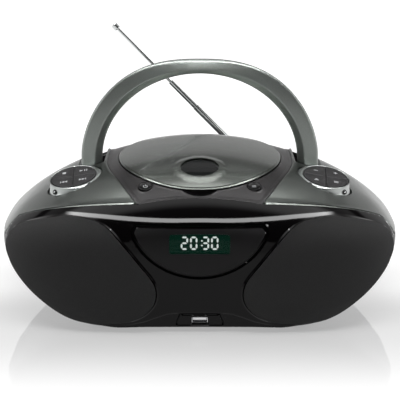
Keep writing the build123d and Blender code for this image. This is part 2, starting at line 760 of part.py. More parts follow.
with BuildPart() as lid_dish:
    add(rod((0, WINDOW_Y, 90), (0, WINDOW_Y, TOP_REACH), DISH_R))
    add(form(DISH_DEPTH), mode=Mode.SUBTRACT)

with BuildPart() as cd_lid:
    add(skin(outer_form, lid_under_form, clip_prism(egg_outline(0, LID_BACK), 95, TOP_REACH)))
    add(lid_dish.part, mode=Mode.SUBTRACT)
    add(lid_arms.part)
    with BuildSketch(Plane.XY.offset(90)):
        with Locations((0, WINDOW_Y)):
            Circle(WINDOW_R + 0.1)
    extrude(amount=TOP_REACH - 90, mode=Mode.SUBTRACT)
    for x in (-HINGE_X, HINGE_X):
        add(rod((x - HINGE_ARM, HINGE_Y, HINGE_Z), (x + HINGE_ARM, HINGE_Y, HINGE_Z),
                HINGE_PIN_R + RUN), mode=Mode.SUBTRACT)
save(cd_lid, "cd_lid")

with BuildPart() as lid_window:
    add(skin(form(DISH_DEPTH), lid_under_form, rod((0, WINDOW_Y, 95), (0, WINDOW_Y, TOP_REACH),
                                                  WINDOW_R)))
save(lid_window, "lid_window")

with BuildPart() as lid_hinge_pins:
    for x in (-HINGE_X, HINGE_X):
        add(rod((x - HINGE_SLOT - 4, HINGE_Y, HINGE_Z), (x + HINGE_SLOT + 4, HINGE_Y, HINGE_Z),
                HINGE_PIN_R))
save(lid_hinge_pins, "lid_hinge_pins")

# ---- disc drive ---------------------------------------------------------------------
PLATE_X = (-33.0, 77.0)
PLATE_Y = (-36.0, 24.0)
RAIL_Y = (-22.0, -2.0)
RAIL_Z = 95.0
RAIL_R = 1.5
SLED_X = (11.0, 35.0)
SLED_Y = (-25.0, 1.0)
SLED_Z = (91.9, 98.0)
LENS_Z = 103.8
SCREW_Y = 9.0
SCREW_Z = 83.9
NUT_X = (17.0, 29.0)
TURNTABLE_Z = 104.0
TURNTABLE_TOP = 106.5
HUB_TOP = 109.6
DISC_BORE_R = 7.5
plate_top = PLATE_Z + PLATE_THICK

with BuildPart() as drive_plate:
    add(block(PLATE_X, PLATE_Y, (PLATE_Z, plate_top)))
    for y in RAIL_Y:
        for x in ((4, 8), (70, 74)):
            add(block(x, (y - 2.5, y + 2.5), (plate_top - 0.5, RAIL_Z + 2.5)))
    add(block((70, 73), (SCREW_Y - 4, SCREW_Y + 4), (SCREW_Z - 3.5, PLATE_Z + 0.5)))
    add(block((16, 64.5), (SCREW_Y - 4.5, SCREW_Y + 4.5), (PLATE_Z - 1, plate_top + 1)),
        mode=Mode.SUBTRACT)
    add(rod((0, SPINDLE_Y, PLATE_Z - 1), (0, SPINDLE_Y, plate_top + 1), 4.0),
        mode=Mode.SUBTRACT)
    for y in RAIL_Y:
        add(rod((3, y, RAIL_Z), (76, y, RAIL_Z), RAIL_R), mode=Mode.SUBTRACT)
    add(rod((60, SCREW_Y, SCREW_Z), (76, SCREW_Y, SCREW_Z), RAIL_R + RUN), mode=Mode.SUBTRACT)
save(drive_plate, "drive_plate")

with BuildPart() as drive_grommets:
    for x, y in GROMMETS:
        add(rod((x, y, plate_top), (x, y, GROMMET_TOP), 4.0))
save(drive_grommets, "drive_grommets")

with BuildPart() as slide_rails:
    for y in RAIL_Y:
        add(rod((4, y, RAIL_Z), (74, y, RAIL_Z), RAIL_R))
save(slide_rails, "slide_rails")

with BuildPart() as spindle_motor:
    add(rod((0, SPINDLE_Y, PLATE_Z - 12), (0, SPINDLE_Y, PLATE_Z), 12.0))
    fillet(spindle_motor.edges().sort_by(Axis.Z)[0], radius=1.5)
    add(rod((0, SPINDLE_Y, PLATE_Z - 14), (0, SPINDLE_Y, PLATE_Z + 1), 1.0 + RUN),
        mode=Mode.SUBTRACT)
save(spindle_motor, "spindle_motor")

with BuildPart() as turntable:
    add(rod((0, SPINDLE_Y, TURNTABLE_Z), (0, SPINDLE_Y, TURNTABLE_TOP), 16.0))
    add(rod((0, SPINDLE_Y, TURNTABLE_TOP), (0, SPINDLE_Y, HUB_TOP), DISC_BORE_R - 0.15))
    fillet(turntable.edges().sort_by(Axis.Z)[-1], radius=1.2)
    add(rod((0, SPINDLE_Y, PLATE_Z - 11), (0, SPINDLE_Y, TURNTABLE_Z), 1.0))
    with BuildSketch(Plane.XY.offset(TURNTABLE_TOP)):
        with Locations((0, SPINDLE_Y)):
            with PolarLocations(DISC_BORE_R - 0.4, 3):
                Circle(1.0)
    extrude(amount=1.6)
save(turntable, "turntable")

with BuildPart() as laser_sled:
    add(block(SLED_X, SLED_Y, SLED_Z))
    add(rod((LENS_X, SPINDLE_Y, SLED_Z[1] - 1), (LENS_X, SPINDLE_Y, LENS_Z), 4.5))
    add(block(NUT_X, (SLED_Y[1] - 1, SCREW_Y + 3.5), (SLED_Z[0], 94.5)))
    add(block(NUT_X, (SCREW_Y - 3.5, SCREW_Y + 3.5), (SCREW_Z - 3.4, 94.0)))
    for y in RAIL_Y:
        add(rod((0, y, RAIL_Z), (60, y, RAIL_Z), RAIL_R + RUN), mode=Mode.SUBTRACT)
    add(rod((0, SCREW_Y, SCREW_Z), (60, SCREW_Y, SCREW_Z), RAIL_R + RUN), mode=Mode.SUBTRACT)
save(laser_sled, "laser_sled")

with BuildPart() as laser_lens:
    add(rod((LENS_X, SPINDLE_Y, LENS_Z), (LENS_X, SPINDLE_Y, LENS_Z + 0.8), 2.6))
    fillet(laser_lens.edges().sort_by(Axis.Z)[-1], radius=0.6)
save(laser_lens, "laser_lens")

with BuildPart() as sled_motor:
    add(rod((-12, SCREW_Y, SCREW_Z), (8, SCREW_Y, SCREW_Z), 6.0))
    add(rod((-5, SCREW_Y, SCREW_Z), (9, SCREW_Y, SCREW_Z), RAIL_R + RUN), mode=Mode.SUBTRACT)
    add(block((-8, 4), (SCREW_Y - 3, SCREW_Y + 3), (SCREW_Z + 3, PLATE_Z)))
save(sled_motor, "sled_motor")

with BuildPart() as lead_screw:
    add(rod((-4, SCREW_Y, SCREW_Z), (74, SCREW_Y, SCREW_Z), RAIL_R))
save(lead_screw, "lead_screw")

# ---- electronics --------------------------------------------------------------------
board_top = BOARD_Z + BOARD_THICK
with BuildPart() as main_board:
    add(block((-60, 60), (-78, 8), (BOARD_Z, board_top)))
    for x, y, radius, height in ((-44, -10, 8, 26), (-44, -34, 6.3, 20), (40, -60, 5, 12)):
        add(rod((x, y, board_top), (x, y, board_top + height), radius))
    for x, y, width, depth in ((-8, -56, 24, 24), (22, -58, 12, 9), (44, -22, 8, 20)):
        add(block((x - width / 2, x + width / 2), (y - depth / 2, y + depth / 2),
                  (board_top, board_top + 3)))
save(main_board, "main_board")

with BuildPart() as transformer:
    add(block((-106, -66), (-38, -6), (FLOOR_Z + WALL, 40)))
    add(block((-96, -76), (-44, 0), (13, 33)))
save(transformer, "transformer")

with BuildPart() as mains_inlet:
    width, height, depth = INLET_SIZE
    mouth_y = INLET_WALL_Y + 1.2
    add(block((INLET[0] - width / 2 + RUN, INLET[0] + width / 2 - RUN),
              (mouth_y - depth, mouth_y), (INLET[1] - height / 2 + RUN,
                                           INLET[1] + height / 2 - RUN)))
    add(block((INLET[0] - width / 2 - 2, INLET[0] + width / 2 + 2),
              (INLET_WALL_Y, mouth_y), (INLET[1] - height / 2 - 1.5,
                                        INLET[1] + height / 2 + 1.5)))
    with BuildSketch(Plane.XZ.offset(-mouth_y)):
        with Locations((INLET[0], INLET[1])):
            SlotOverall(16.5, 8.4)
    extrude(amount=depth - 2.5, mode=Mode.SUBTRACT)
    for x in (-4.3, 4.3):
        add(rod((INLET[0] + x, mouth_y - depth + 1, INLET[1]),
                (INLET[0] + x, mouth_y - 1.5, INLET[1]), 1.2))
save(mains_inlet, "mains_inlet")

# ---- battery bay --------------------------------------------------------------------
with BuildPart() as battery_door:
    add(block((-BAY_X + GAP, BAY_X - GAP), (BAY_Y[0] + GAP, BAY_Y[1] - GAP),
              (FLOOR_Z, FLOOR_Z + DOOR_THICK)))
    for side in (-1, 1):
        add(rod((side * (BAY_X - 2), DOOR_PIVOT[0], DOOR_PIVOT[1]),
                (side * (BAY_X + 1.3), DOOR_PIVOT[0], DOOR_PIVOT[1]), DOOR_PIN_R))
    with BuildSketch(Plane.XY.offset(FLOOR_Z)):
        with Locations((0, BAY_Y[1] - 12)):
            SlotOverall(30, 7)
    extrude(amount=0.8, mode=Mode.SUBTRACT)
save(battery_door, "battery_door")

CELL_Y = (36.5, 65.5)
CELL_Z = (19.5, 46.5)
with BuildPart() as battery_contacts:
    for side in (-1, 1):
        for y in CELL_Y:
            for z in CELL_Z:
                add(block(sorted((side * BAY_X, side * (BAY_X - 0.5))), (y - 7, y + 7),
                          (z - 7, z + 7)))
                add(rod((side * (BAY_X - 0.4), y, z), (side * (BAY_X - 1.6), y, z), 3.5))
save(battery_contacts, "battery_contacts")

# ---- feet and screws ----------------------------------------------------------------
with BuildPart() as feet:
    for x, y in FEET:
        add(rod((x, y, 0), (x, y, FLOOR_Z), FOOT_R))
    chamfer(feet.edges().group_by(Axis.Z)[0], length=0.6)
save(feet, "feet")

with BuildPart() as cabinet_screws:
    for x, y in POSTS:
        add(rod((x, y, FLOOR_Z + 0.5), (x, y, FLOOR_Z + 2.3), SCREW_HEAD_R))
        add(rod((x, y, FLOOR_Z + 2.3), (x, y, POST_TOP + 10), SCREW_R))
        with BuildSketch(Plane.XY.offset(FLOOR_Z + 0.5)):
            with Locations((x, y)):
                Rectangle(3.6, 0.8)
                Rectangle(0.8, 3.6)
        extrude(amount=1.0, mode=Mode.SUBTRACT)
save(cabinet_screws, "cabinet_screws")

# ---- handle -------------------------------------------------------------------------
HANDLE_STEP = 12           # degrees from one section of the arch to the next
HANDLE_RIDGE = 0.36        # the front and back ridges, as a share of the section from its middle
HANDLE_EDGE = 8.0          # thickness at the inner and outer edges


def arch_point(turn, half_width, base_z, top_z, powers):
    """A point of the arch's edge in the front view, from the right foot over the crown."""
    rise = math.sin(turn)
    x = half_width * max(0.0, 1 - rise ** powers[0]) ** (1 / powers[1])
    return math.copysign(x, math.cos(turn)), base_z + (top_z - base_z) * rise


def handle_edges():
    """Inner and outer edge points of the handle's sections, foot to foot."""
    rows = [((HANDLE_IN, PIVOT_Z), (HANDLE_OUT, PIVOT_Z))]
    for degrees in range(0, 181, HANDLE_STEP):
        turn = math.radians(degrees)
        rows.append((arch_point(turn, HANDLE_IN, HANDLE_IN_Z, HANDLE_IN_TOP, (2.0, 2.0)),
                     arch_point(turn, HANDLE_OUT, HANDLE_OUT_Z, HANDLE_TOP, HANDLE_OUT_ROUND)))
    rows.append(((-HANDLE_IN, PIVOT_Z), (-HANDLE_OUT, PIVOT_Z)))
    return rows


with BuildPart() as handle:
    for (inner_x, inner_z), (outer_x, outer_z) in handle_edges():
        across = Vector(outer_x - inner_x, 0, outer_z - inner_z)
        half = across.length / 2
        middle = ((inner_x + outer_x) / 2, PIVOT_Y, (inner_z + outer_z) / 2)
        with BuildSketch(Plane(origin=middle, x_dir=across, z_dir=across.cross(Vector(0, 1, 0)))):
            with BuildLine():
                Polyline((-half, HANDLE_EDGE / 2), (-half * HANDLE_RIDGE, HANDLE_THICK / 2),
                         (half, HANDLE_EDGE / 2), (half, -HANDLE_EDGE / 2),
                         (-half * HANDLE_RIDGE, -HANDLE_THICK / 2), (-half, -HANDLE_EDGE / 2),
                         close=True)
            make_face()
    loft()
    for side in (-1, 1):
        add(rod((side * (GROOVE_X[0] + 0.6), PIVOT_Y, PIVOT_Z),
                (side * (GROOVE_X[1] - 0.6), PIVOT_Y, PIVOT_Z), HUB_R))
    for side in (-1, 1):
        add(rod((side * 80, PIVOT_Y, PIVOT_Z), (side * 115, PIVOT_Y, PIVOT_Z),
                PIVOT_PIN_R + RUN), mode=Mode.SUBTRACT)
save(handle, "handle")

with BuildPart() as handle_pins:
    for side in (-1, 1):
        add(rod((side * (GROOVE_X[0] - WALL), PIVOT_Y, PIVOT_Z),
                (side * (GROOVE_X[1] + WALL), PIVOT_Y, PIVOT_Z), PIVOT_PIN_R))
save(handle_pins, "handle_pins")

# ---- antenna ------------------------------------------------------------------------
rise = math.radians(ANTENNA_RISE)
antenna_foot = Vector(ANTENNA_X, ANTENNA_Y, ANTENNA_Z)
antenna_line = Vector(-math.cos(rise), 0, math.sin(rise))
antenna_tilt = Vector(math.sin(rise), 0, math.cos(rise))


def along(distance):
    """A point of the antenna at a distance from its tilting pin."""
    point = antenna_foot + antenna_line * distance
    return (point.X, point.Y, point.Z)


tilt_plane = Plane(origin=antenna_foot, x_dir=antenna_line, z_dir=antenna_tilt)
EAR_THICK = 1.8
EAR_GAP = 0.15
TILT_PIN_R = 1.2
BASE_R = 6.8
BASE_Y = (TROUGH_Y + 0.2, TROUGH_Y + 1.9)

with BuildPart() as antenna_base:
    add(rod((ANTENNA_X, BASE_Y[0], ANTENNA_Z), (ANTENNA_X, BASE_Y[1], ANTENNA_Z), BASE_R))
    add(rod((ANTENNA_X, TROUGH_Y - WALL - 1.5, ANTENNA_Z), (ANTENNA_X, BASE_Y[1], ANTENNA_Z), 3.0))
    for way in (-1, 1):
        inner_face = KNUCKLE_HALF + EAR_GAP
        start = inner_face if way > 0 else -inner_face - EAR_THICK
        with BuildSketch(tilt_plane.offset(start)):
            Circle(KNUCKLE_R)
            with Locations((0, 2.5)):
                Rectangle(2 * KNUCKLE_R, 5.0)
        extrude(amount=EAR_THICK)
    add(rod(tuple(antenna_foot - antenna_tilt * 6), tuple(antenna_foot + antenna_tilt * 6),
            TILT_PIN_R), mode=Mode.SUBTRACT)
save(antenna_base, "antenna_base")

with BuildPart() as antenna_pin:
    half = KNUCKLE_HALF + EAR_GAP + EAR_THICK
    add(rod(tuple(antenna_foot - antenna_tilt * half), tuple(antenna_foot + antenna_tilt * half),
            TILT_PIN_R))
save(antenna_pin, "antenna_pin")

with BuildPart() as antenna_knuckle:
    with BuildSketch(tilt_plane.offset(-KNUCKLE_HALF)):
        Circle(KNUCKLE_R - 0.9)
        with Locations((3.4, 0)):
            Rectangle(6.8, 2 * KNUCKLE_HALF)
    extrude(amount=2 * KNUCKLE_HALF)
    add(rod(along(5.0), along(TUBE_START), TUBE_R[0]))
    add(rod(along(TUBE_START), along(TUBE_START + 3.5), TUBE_R[0] - TUBE_WALL))
    add(rod(tuple(antenna_foot - antenna_tilt * 6), tuple(antenna_foot + antenna_tilt * 6),
            TILT_PIN_R + RUN), mode=Mode.SUBTRACT)
save(antenna_knuckle, "antenna_knuckle")

tube_end = TUBE_START
for i, (radius, length, out) in enumerate(zip(TUBE_R, TUBE_LENGTH, TUBE_OUT)):
    tube_end += length if i == 0 else out
    bore = radius - TUBE_WALL if i < 2 else ROD_R + RUN
    with BuildPart() as antenna_tube:
        add(rod(along(tube_end - length), along(tube_end), radius))
        add(rod(along(tube_end - length - 1), along(tube_end + 1), bore), mode=Mode.SUBTRACT)
    save(antenna_tube, f"antenna_tube_{i + 1}")

rod_end = tube_end + ROD_OUT
with BuildPart() as antenna_tip:
    add(rod(along(rod_end - ROD_LENGTH), along(rod_end - 1), ROD_R))
    add(rod(along(rod_end - CAP_LENGTH), along(rod_end), CAP_R))
    fillet(antenna_tip.edges().filter_by(GeomType.CIRCLE).filter_by(
        lambda e: e.radius > CAP_R - 0.1), radius=0.9)
save(antenna_tip, "antenna_tip")
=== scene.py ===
import json
import math

import bmesh
import bpy
import numpy as np
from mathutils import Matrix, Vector, kdtree
from mathutils.geometry import delaunay_2d_cdt


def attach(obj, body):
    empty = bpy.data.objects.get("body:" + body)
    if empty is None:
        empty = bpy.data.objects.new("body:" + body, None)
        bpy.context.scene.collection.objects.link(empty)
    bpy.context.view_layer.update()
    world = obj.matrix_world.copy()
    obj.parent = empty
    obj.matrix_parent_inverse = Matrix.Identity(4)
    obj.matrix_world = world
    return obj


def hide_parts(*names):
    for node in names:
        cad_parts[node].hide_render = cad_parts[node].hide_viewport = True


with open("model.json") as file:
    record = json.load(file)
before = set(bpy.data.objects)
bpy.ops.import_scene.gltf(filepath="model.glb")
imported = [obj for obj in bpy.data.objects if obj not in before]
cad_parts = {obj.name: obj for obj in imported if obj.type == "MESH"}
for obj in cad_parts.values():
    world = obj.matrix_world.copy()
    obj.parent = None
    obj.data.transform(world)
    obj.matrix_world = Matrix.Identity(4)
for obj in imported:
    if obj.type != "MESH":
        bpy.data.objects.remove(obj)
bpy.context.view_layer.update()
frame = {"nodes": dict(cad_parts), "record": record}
MM = 0.001
scene = bpy.context.scene


def link(name, data):
    """A new object in the scene."""
    ob = bpy.data.objects.new(name, data)
    scene.collection.objects.link(ob)
    return ob


# ---- camera, fitted to the photograph --------------------------------------------------
IMAGE_PX, FOCAL_PX, CENTRE_PX, SENSOR_MM = 400.0, 1392.86, (0.25, 11.0), 36.0
CAM_TILT, CAM_DISTANCE, CAM_AIM_Z = math.radians(14), 1.250, 0.075
cam_data = bpy.data.cameras.new("camera")
cam_data.sensor_width = SENSOR_MM
cam_data.lens = SENSOR_MM * FOCAL_PX / IMAGE_PX
cam_data.shift_x, cam_data.shift_y = (c / IMAGE_PX for c in CENTRE_PX)
cam_data.clip_start, cam_data.clip_end = 0.05, 50.0
cam = link("camera", cam_data)
cam.location = (0.0, -CAM_DISTANCE * math.cos(CAM_TILT), CAM_AIM_Z + CAM_DISTANCE * math.sin(CAM_TILT))
cam.rotation_euler = (math.radians(90) - CAM_TILT, 0.0, 0.0)
scene.camera = cam

# ---- the outer form, as in the CAD source --------------------------------------------
HALF_WIDTH, FRONT_DEPTH, BACK_DEPTH = 173.0, 115.0, 116.0
CROWN_Z, EQUATOR_Z, UNDER_Z = 133.6, 62.8, -15.9
CROWN_Y, CROWN_SWEEP = 40.0, 20.5
P_UP_FRONT, P_UP_BACK, P_LOW_FRONT, P_LOW_BACK = 2.66, 2.23, 6.9, 2.6
# each size falls from the middle (u = 0) to the end (u = 1) as (1 - u ** a) ** (1 / b)
# (a, b) of the front, the back, the upper and the lower half
FALLS = ((2.95, 3.3), (3.3, 3.3), (1.86, 1.47), (3.08, 1.1))


def sizes(x):
    """Crown line, front and back depth, upper and lower height of the section at x."""
    u = np.minimum(np.abs(x) / HALF_WIDTH, 0.999999)
    front, back, upper, lower = ((1 - u ** a) ** (1 / b) for a, b in FALLS)
    return (CROWN_Y - CROWN_SWEEP * u ** 2, (CROWN_Y + FRONT_DEPTH) * front, (BACK_DEPTH - CROWN_Y) * back,
            (CROWN_Z - EQUATOR_Z) * upper, (EQUATOR_Z - UNDER_Z) * lower)


def surface(u, t):
    """Point of the form at station angle u and section angle t, both in radians."""
    u, t = np.asarray(u, float), np.asarray(t, float)
    x = HALF_WIDTH * np.sin(u)
    crown, front, back, upper, lower = sizes(x)
    c, s = np.cos(t), np.sin(t)
    p = np.where(s > 0, np.where(c > 0, P_UP_BACK, P_UP_FRONT),
                 np.where(c > 0, P_LOW_BACK, P_LOW_FRONT))
    r = (np.abs(c) ** p + np.abs(s) ** p) ** (-1 / p)
    y = crown + c * r * np.where(c > 0, back, front)
    z = EQUATOR_Z + s * r * np.where(s > 0, upper, lower)
    return np.stack([x, y, z], -1)


def normal(u, t):
    e = 2e-4
    a = surface(u + e, t) - surface(u - e, t)
    b = surface(u, t + e) - surface(u, t - e)
    n = np.cross(a, b)
    return n / np.linalg.norm(n, axis=-1, keepdims=True)


def front_y(x, z):
    crown, front, _, upper, lower = sizes(x)
    up = z >= EQUATOR_Z
    h = np.where(up, upper, lower)
    p = np.where(up, P_UP_FRONT, P_LOW_FRONT)
    return crown - front * np.maximum(0, 1 - (np.abs(z - EQUATOR_Z) / h) ** p) ** (1 / p)


def top_z(x, y):
    crown, front, back, upper, _ = sizes(x)
    rear = y > crown
    b = np.where(rear, back, front)
    p = np.where(rear, P_UP_BACK, P_UP_FRONT)
    return EQUATOR_Z + upper * np.maximum(0, 1 - (np.abs(y - crown) / b) ** p) ** (1 / p)


def from_front(points):
    """(x, z) points of the front, as form angles."""
    x, z = np.asarray(points, float).T
    crown, front, _, upper, lower = sizes(x)
    h = np.where(z >= EQUATOR_Z, upper, lower)
    return np.stack([np.arcsin(x / HALF_WIDTH),
                     np.arctan2((z - EQUATOR_Z) / h, -(crown - front_y(x, z)) / front) % (2 * math.pi)], -1)


def from_plan(points):
    """(x, y) points of the plan, as form angles."""
    x, y = np.asarray(points, float).T
    crown, front, back, upper, _ = sizes(x)
    b = np.where(y > crown, back, front)
    return np.stack([np.arcsin(x / HALF_WIDTH),
                     np.arctan2((top_z(x, y) - EQUATOR_Z) / upper, (y - crown) / b) % (2 * math.pi)], -1)


# ---- curves --------------------------------------------------------------------------
def lengths(points):
    """Length along a closed polyline at each of its points, and at the return to the first."""
    return np.r_[0, np.cumsum(np.linalg.norm(np.roll(points, -1, 0) - points, axis=1))]


def sample(points, lengths_, n):
    """n points evenly spaced by the lengths given."""
    at = np.linspace(0, lengths_[-1], n + 1)[:-1]
    ends = np.vstack([points, points[:1]])
    return np.stack([np.interp(at, lengths_, ends[:, k]) for k in range(ends.shape[1])], -1)


def resample(points, step):
    p = np.asarray(points, float)
    d = lengths(p)
    return sample(p, d, max(3, int(round(d[-1] / step))))


def spline(points, per=16):
    """Smooth closed curve through points (centripetal Catmull-Rom)."""
    out = []
    for i in range(len(points)):
        a, b, c, d = (points[(i + k) % len(points)] for k in (-1, 0, 1, 2))
        ta, tb, tc = (np.linalg.norm(q - p) ** .5 for p, q in ((a, b), (b, c), (c, d)))
        m1 = ((b - a) / ta - (c - a) / (ta + tb) + (c - b) / tb) * tb
        m2 = ((c - b) / tb - (d - b) / (tb + tc) + (d - c) / tc) * tb
        for t in np.arange(per) / per:
            out.append((2 * t ** 3 - 3 * t ** 2 + 1) * b + (t ** 3 - 2 * t ** 2 + t) * m1
                       + (3 * t ** 2 - 2 * t ** 3) * c + (t ** 3 - t ** 2) * m2)
    return np.array(out)


def arc3(a, b, c, n=40):
    """Points of the circular arc from a through b to c."""
    a, b, c = (np.array(v, float) for v in (a, b, c))
    d = 2 * (a[0] * (b[1] - c[1]) + b[0] * (c[1] - a[1]) + c[0] * (a[1] - b[1]))
    q = [v @ v for v in (a, b, c)]
    m = np.array([(q[0] * (b[1] - c[1]) + q[1] * (c[1] - a[1]) + q[2] * (a[1] - b[1])) / d,
                  (q[0] * (c[0] - b[0]) + q[1] * (a[0] - c[0]) + q[2] * (b[0] - a[0])) / d])
    r = np.linalg.norm(a - m)
    ang = [math.atan2(*(v - m)[::-1]) for v in (a, b, c)]
    s, e = ang[0], ang[2]
    mid = (ang[1] - s) % (2 * math.pi)
    sweep = (e - s) % (2 * math.pi)
    if mid > sweep:
        sweep -= 2 * math.pi
    t = s + sweep * np.linspace(0, 1, n)
    return np.stack([m[0] + r * np.cos(t), m[1] + r * np.sin(t)], -1)


def ring(cx, cy, r, n=64):
    t = 2 * math.pi * np.arange(n) / n
    return np.stack([cx + r * np.cos(t), cy + r * np.sin(t)], -1)

def round_corners(points, radius, n=6, cuts=None):
    """Closed polygon with its corners rounded by a radius, or by each corner's own cut along its sides."""
    p = np.asarray(points, float)
    out = []
    for i in range(len(p)):
        a, b, c = p[i - 1], p[i], p[(i + 1) % len(p)]
        u, v = (a - b) / np.linalg.norm(a - b), (c - b) / np.linalg.norm(c - b)
        cut = cuts[i] if cuts else radius / math.tan(math.acos(np.clip(u @ v, -1, 1)) / 2)
        cut = min(cut, 0.45 * np.linalg.norm(a - b), 0.45 * np.linalg.norm(c - b))
        s, e = b + u * cut, b + v * cut
        out += [(1 - t) ** 2 * s + 2 * t * (1 - t) * b + t ** 2 * e for t in np.arange(n + 1) / n]
    return np.array(out)


def outward(loop):
    """Unit normals of a closed loop, pointing away from its inside."""
    d = np.roll(loop, -1, 0) - np.roll(loop, 1, 0)
    d /= np.linalg.norm(d, axis=1, keepdims=True)
    area = np.sum(loop[:, 0] * np.roll(loop[:, 1], -1) - np.roll(loop[:, 0], -1) * loop[:, 1])
    return np.stack([d[:, 1], -d[:, 0]], -1) * (1 if area > 0 else -1)


def grow(points, by):
    """Closed smooth polyline moved outward by a distance (inward when negative)."""
    p = resample(points, 0.8)
    return p + outward(p) * by


def mirror(points):
    return points * np.array([-1, 1])


def inside(points, loop):
    x, y = points[:, 0], points[:, 1]
    hit = np.zeros(len(points), bool)
    a = np.asarray(loop)
    b = np.roll(a, -1, 0)
    for (x1, y1), (x2, y2) in zip(a, b):
        if y1 == y2:
            continue
        cross = ((y1 > y) != (y2 > y)) & (x < (x2 - x1) * (y - y1) / (y2 - y1) + x1)
        hit ^= cross
    return hit

def between(points, loops):
    """Which points lie inside the first loop and outside the others."""
    found = inside(points, loops[0])
    for hole in loops[1:]:
        found &= ~inside(points, hole)
    return found


def ramp01(v, a, b):
    t = np.clip((v - a) / (b - a), 0, 1)
    return t * t * (3 - 2 * t)


# ---- meshes --------------------------------------------------------------------------
def add_mesh(name, verts_mm, faces, smooth=True):
    me = bpy.data.meshes.new(name)
    me.from_pydata([tuple(float(c) * MM for c in v) for v in verts_mm], [],
                   [tuple(int(i) for i in f) for f in faces])
    me.update()
    for p in me.polygons:
        p.use_smooth = smooth
    return link(name, me)


def finish_mesh(ob, sharp=None, weld=False, cuts=0):
    """Point the faces outward; weld joins doubled points, cuts splits edges, sharp is the crease angle."""
    bm = bmesh.new()
    bm.from_mesh(ob.data)
    if cuts:
        bmesh.ops.subdivide_edges(bm, edges=bm.edges, cuts=cuts)
    if weld:
        bmesh.ops.remove_doubles(bm, verts=bm.verts, dist=1e-7)
        bmesh.ops.dissolve_degenerate(bm, edges=bm.edges, dist=1e-7)
    bmesh.ops.recalc_face_normals(bm, faces=bm.faces)
    bm.to_mesh(ob.data)
    bm.free()
    if sharp:
        ob.data.set_sharp_from_angle(angle=math.radians(sharp))
    return ob


def skin(rows, n, start=0, wrap=False):
    """Faces between rows of n points, closed round each row; the ends are capped, or wrap joins them."""
    faces = [(start + r * n + i, start + r * n + (i + 1) % n, start + (r + 1) % rows * n + (i + 1) % n,
              start + (r + 1) % rows * n + i) for r in range(rows if wrap else rows - 1) for i in range(n)]
    if not wrap:
        last = start + (rows - 1) * n
        faces += [tuple(range(start + n - 1, start - 1, -1)), tuple(range(last, last + n))]
    return faces


def triangulate(points, edges, scale=1.0, near=1e-6):
    """Delaunay triangles that keep the edges: their points and faces."""
    res = delaunay_2d_cdt([Vector(v) for v in points * scale], edges, [], 0, near)
    return np.array([tuple(v) for v in res[0]]) / scale, np.array([f for f in res[2] if len(f) == 3])


def loop_edges(loops):
    """Index pairs of closed loops whose points follow one another."""
    ends = np.cumsum([len(lp) for lp in loops])
    return [(e - len(lp) + i, e - len(lp) + (i + 1) % len(lp)) for lp, e in zip(loops, ends)
            for i in range(len(lp))]


def tree_of(points):
    tree = kdtree.KDTree(len(points))
    for i, q in enumerate(points):
        tree.insert(q, i)
    tree.balance()
    return tree


def shell(name, points, tri, normals, thick, sharp):
    """A closed sheet from the triangles of its outer face; its thickness goes inward."""
    a, b, c = (points[tri[:, k]] for k in range(3))
    flip = (np.cross(b - a, c - a) * normals[tri].mean(1)).sum(1) < 0
    tri[flip] = tri[flip][:, ::-1]
    used, index = np.unique(tri, return_inverse=True)
    ob = add_mesh(name, points[used], index.reshape(tri.shape))
    solid = ob.modifiers.new("thickness", "SOLIDIFY")
    solid.thickness, solid.offset = thick * MM, -1.0
    mesh = bpy.data.meshes.new_from_object(ob.evaluated_get(bpy.context.evaluated_depsgraph_get()))
    ob.modifiers.clear()
    ob.data = mesh
    mesh.set_sharp_from_angle(angle=math.radians(sharp))
    return ob


# a patch is triangulated in form angles, stretched to lengths like the arcs', so that triangles are even
DOMAIN = np.array([150.0, 100.0])
GRID_U, GRID_T, GRID_SHIFT, EDGE_STEP, LOOP_FINE = 0.00668, 0.0095, 0.0047, 0.7, 0.4
RINGS, WIDE_RINGS, WIDE = (0.1, 0.3, 0.6, 1.0), (0.05, 0.14, 0.26, 0.4, 0.56, 0.76, 1.0), 1.5


def along_loop(loop, step, least):
    """Points of a form-angle loop at even distances on the form."""
    d = lengths(surface(*loop.T))
    return sample(loop, d, max(least, int(d[-1] / step)))


def distance_to(loops):
    """A function that gives points' distances to each loop, exact between the loop's samples."""
    fine = [surface(*along_loop(lp, LOOP_FINE, 60).T) for lp in loops]
    trees = [tree_of(f) for f in fine]

    def distance(p3):
        columns = []
        for f, tree in zip(fine, trees):
            i = np.array([tree.find(q)[1] for q in p3])
            best = np.full(len(p3), np.inf)
            for a, b in ((f[i - 1], f[i]), (f[i], f[(i + 1) % len(f)])):
                ab = b - a
                k = np.clip(((p3 - a) * ab).sum(1) / np.maximum((ab * ab).sum(1), 1e-12), 0, 1)
                best = np.minimum(best, np.linalg.norm(p3 - a - ab * k[:, None], axis=1))
            columns.append(best)
        return np.stack(columns, -1)

    return distance


def edge_rings(loop, r):
    """Form-angle points beside an edge, on both sides, with their reach: the rounding bends there."""
    e = 1e-4
    u, t = loop.T
    s3 = surface(u, t)
    tangent = np.roll(s3, -1, 0) - np.roll(s3, 1, 0)
    tangent /= np.linalg.norm(tangent, axis=1, keepdims=True)
    into = np.cross(normal(u, t), tangent)
    ju = (surface(u + e, t) - surface(u - e, t)) / (2 * e)
    jt = (surface(u, t + e) - surface(u, t - e)) / (2 * e)
    uu, ut, tt, iu, it = ((a * b).sum(1) for a, b in ((ju, ju), (ju, jt), (jt, jt), (ju, into), (jt, into)))
    unit = np.stack([tt * iu - ut * it, uu * it - ut * iu], -1) / (uu * tt - ut ** 2)[:, None]
    for reach in r * np.array(WIDE_RINGS if r >= WIDE else RINGS):
        for sign in (1, -1):
            yield reach, loop + unit * sign * reach


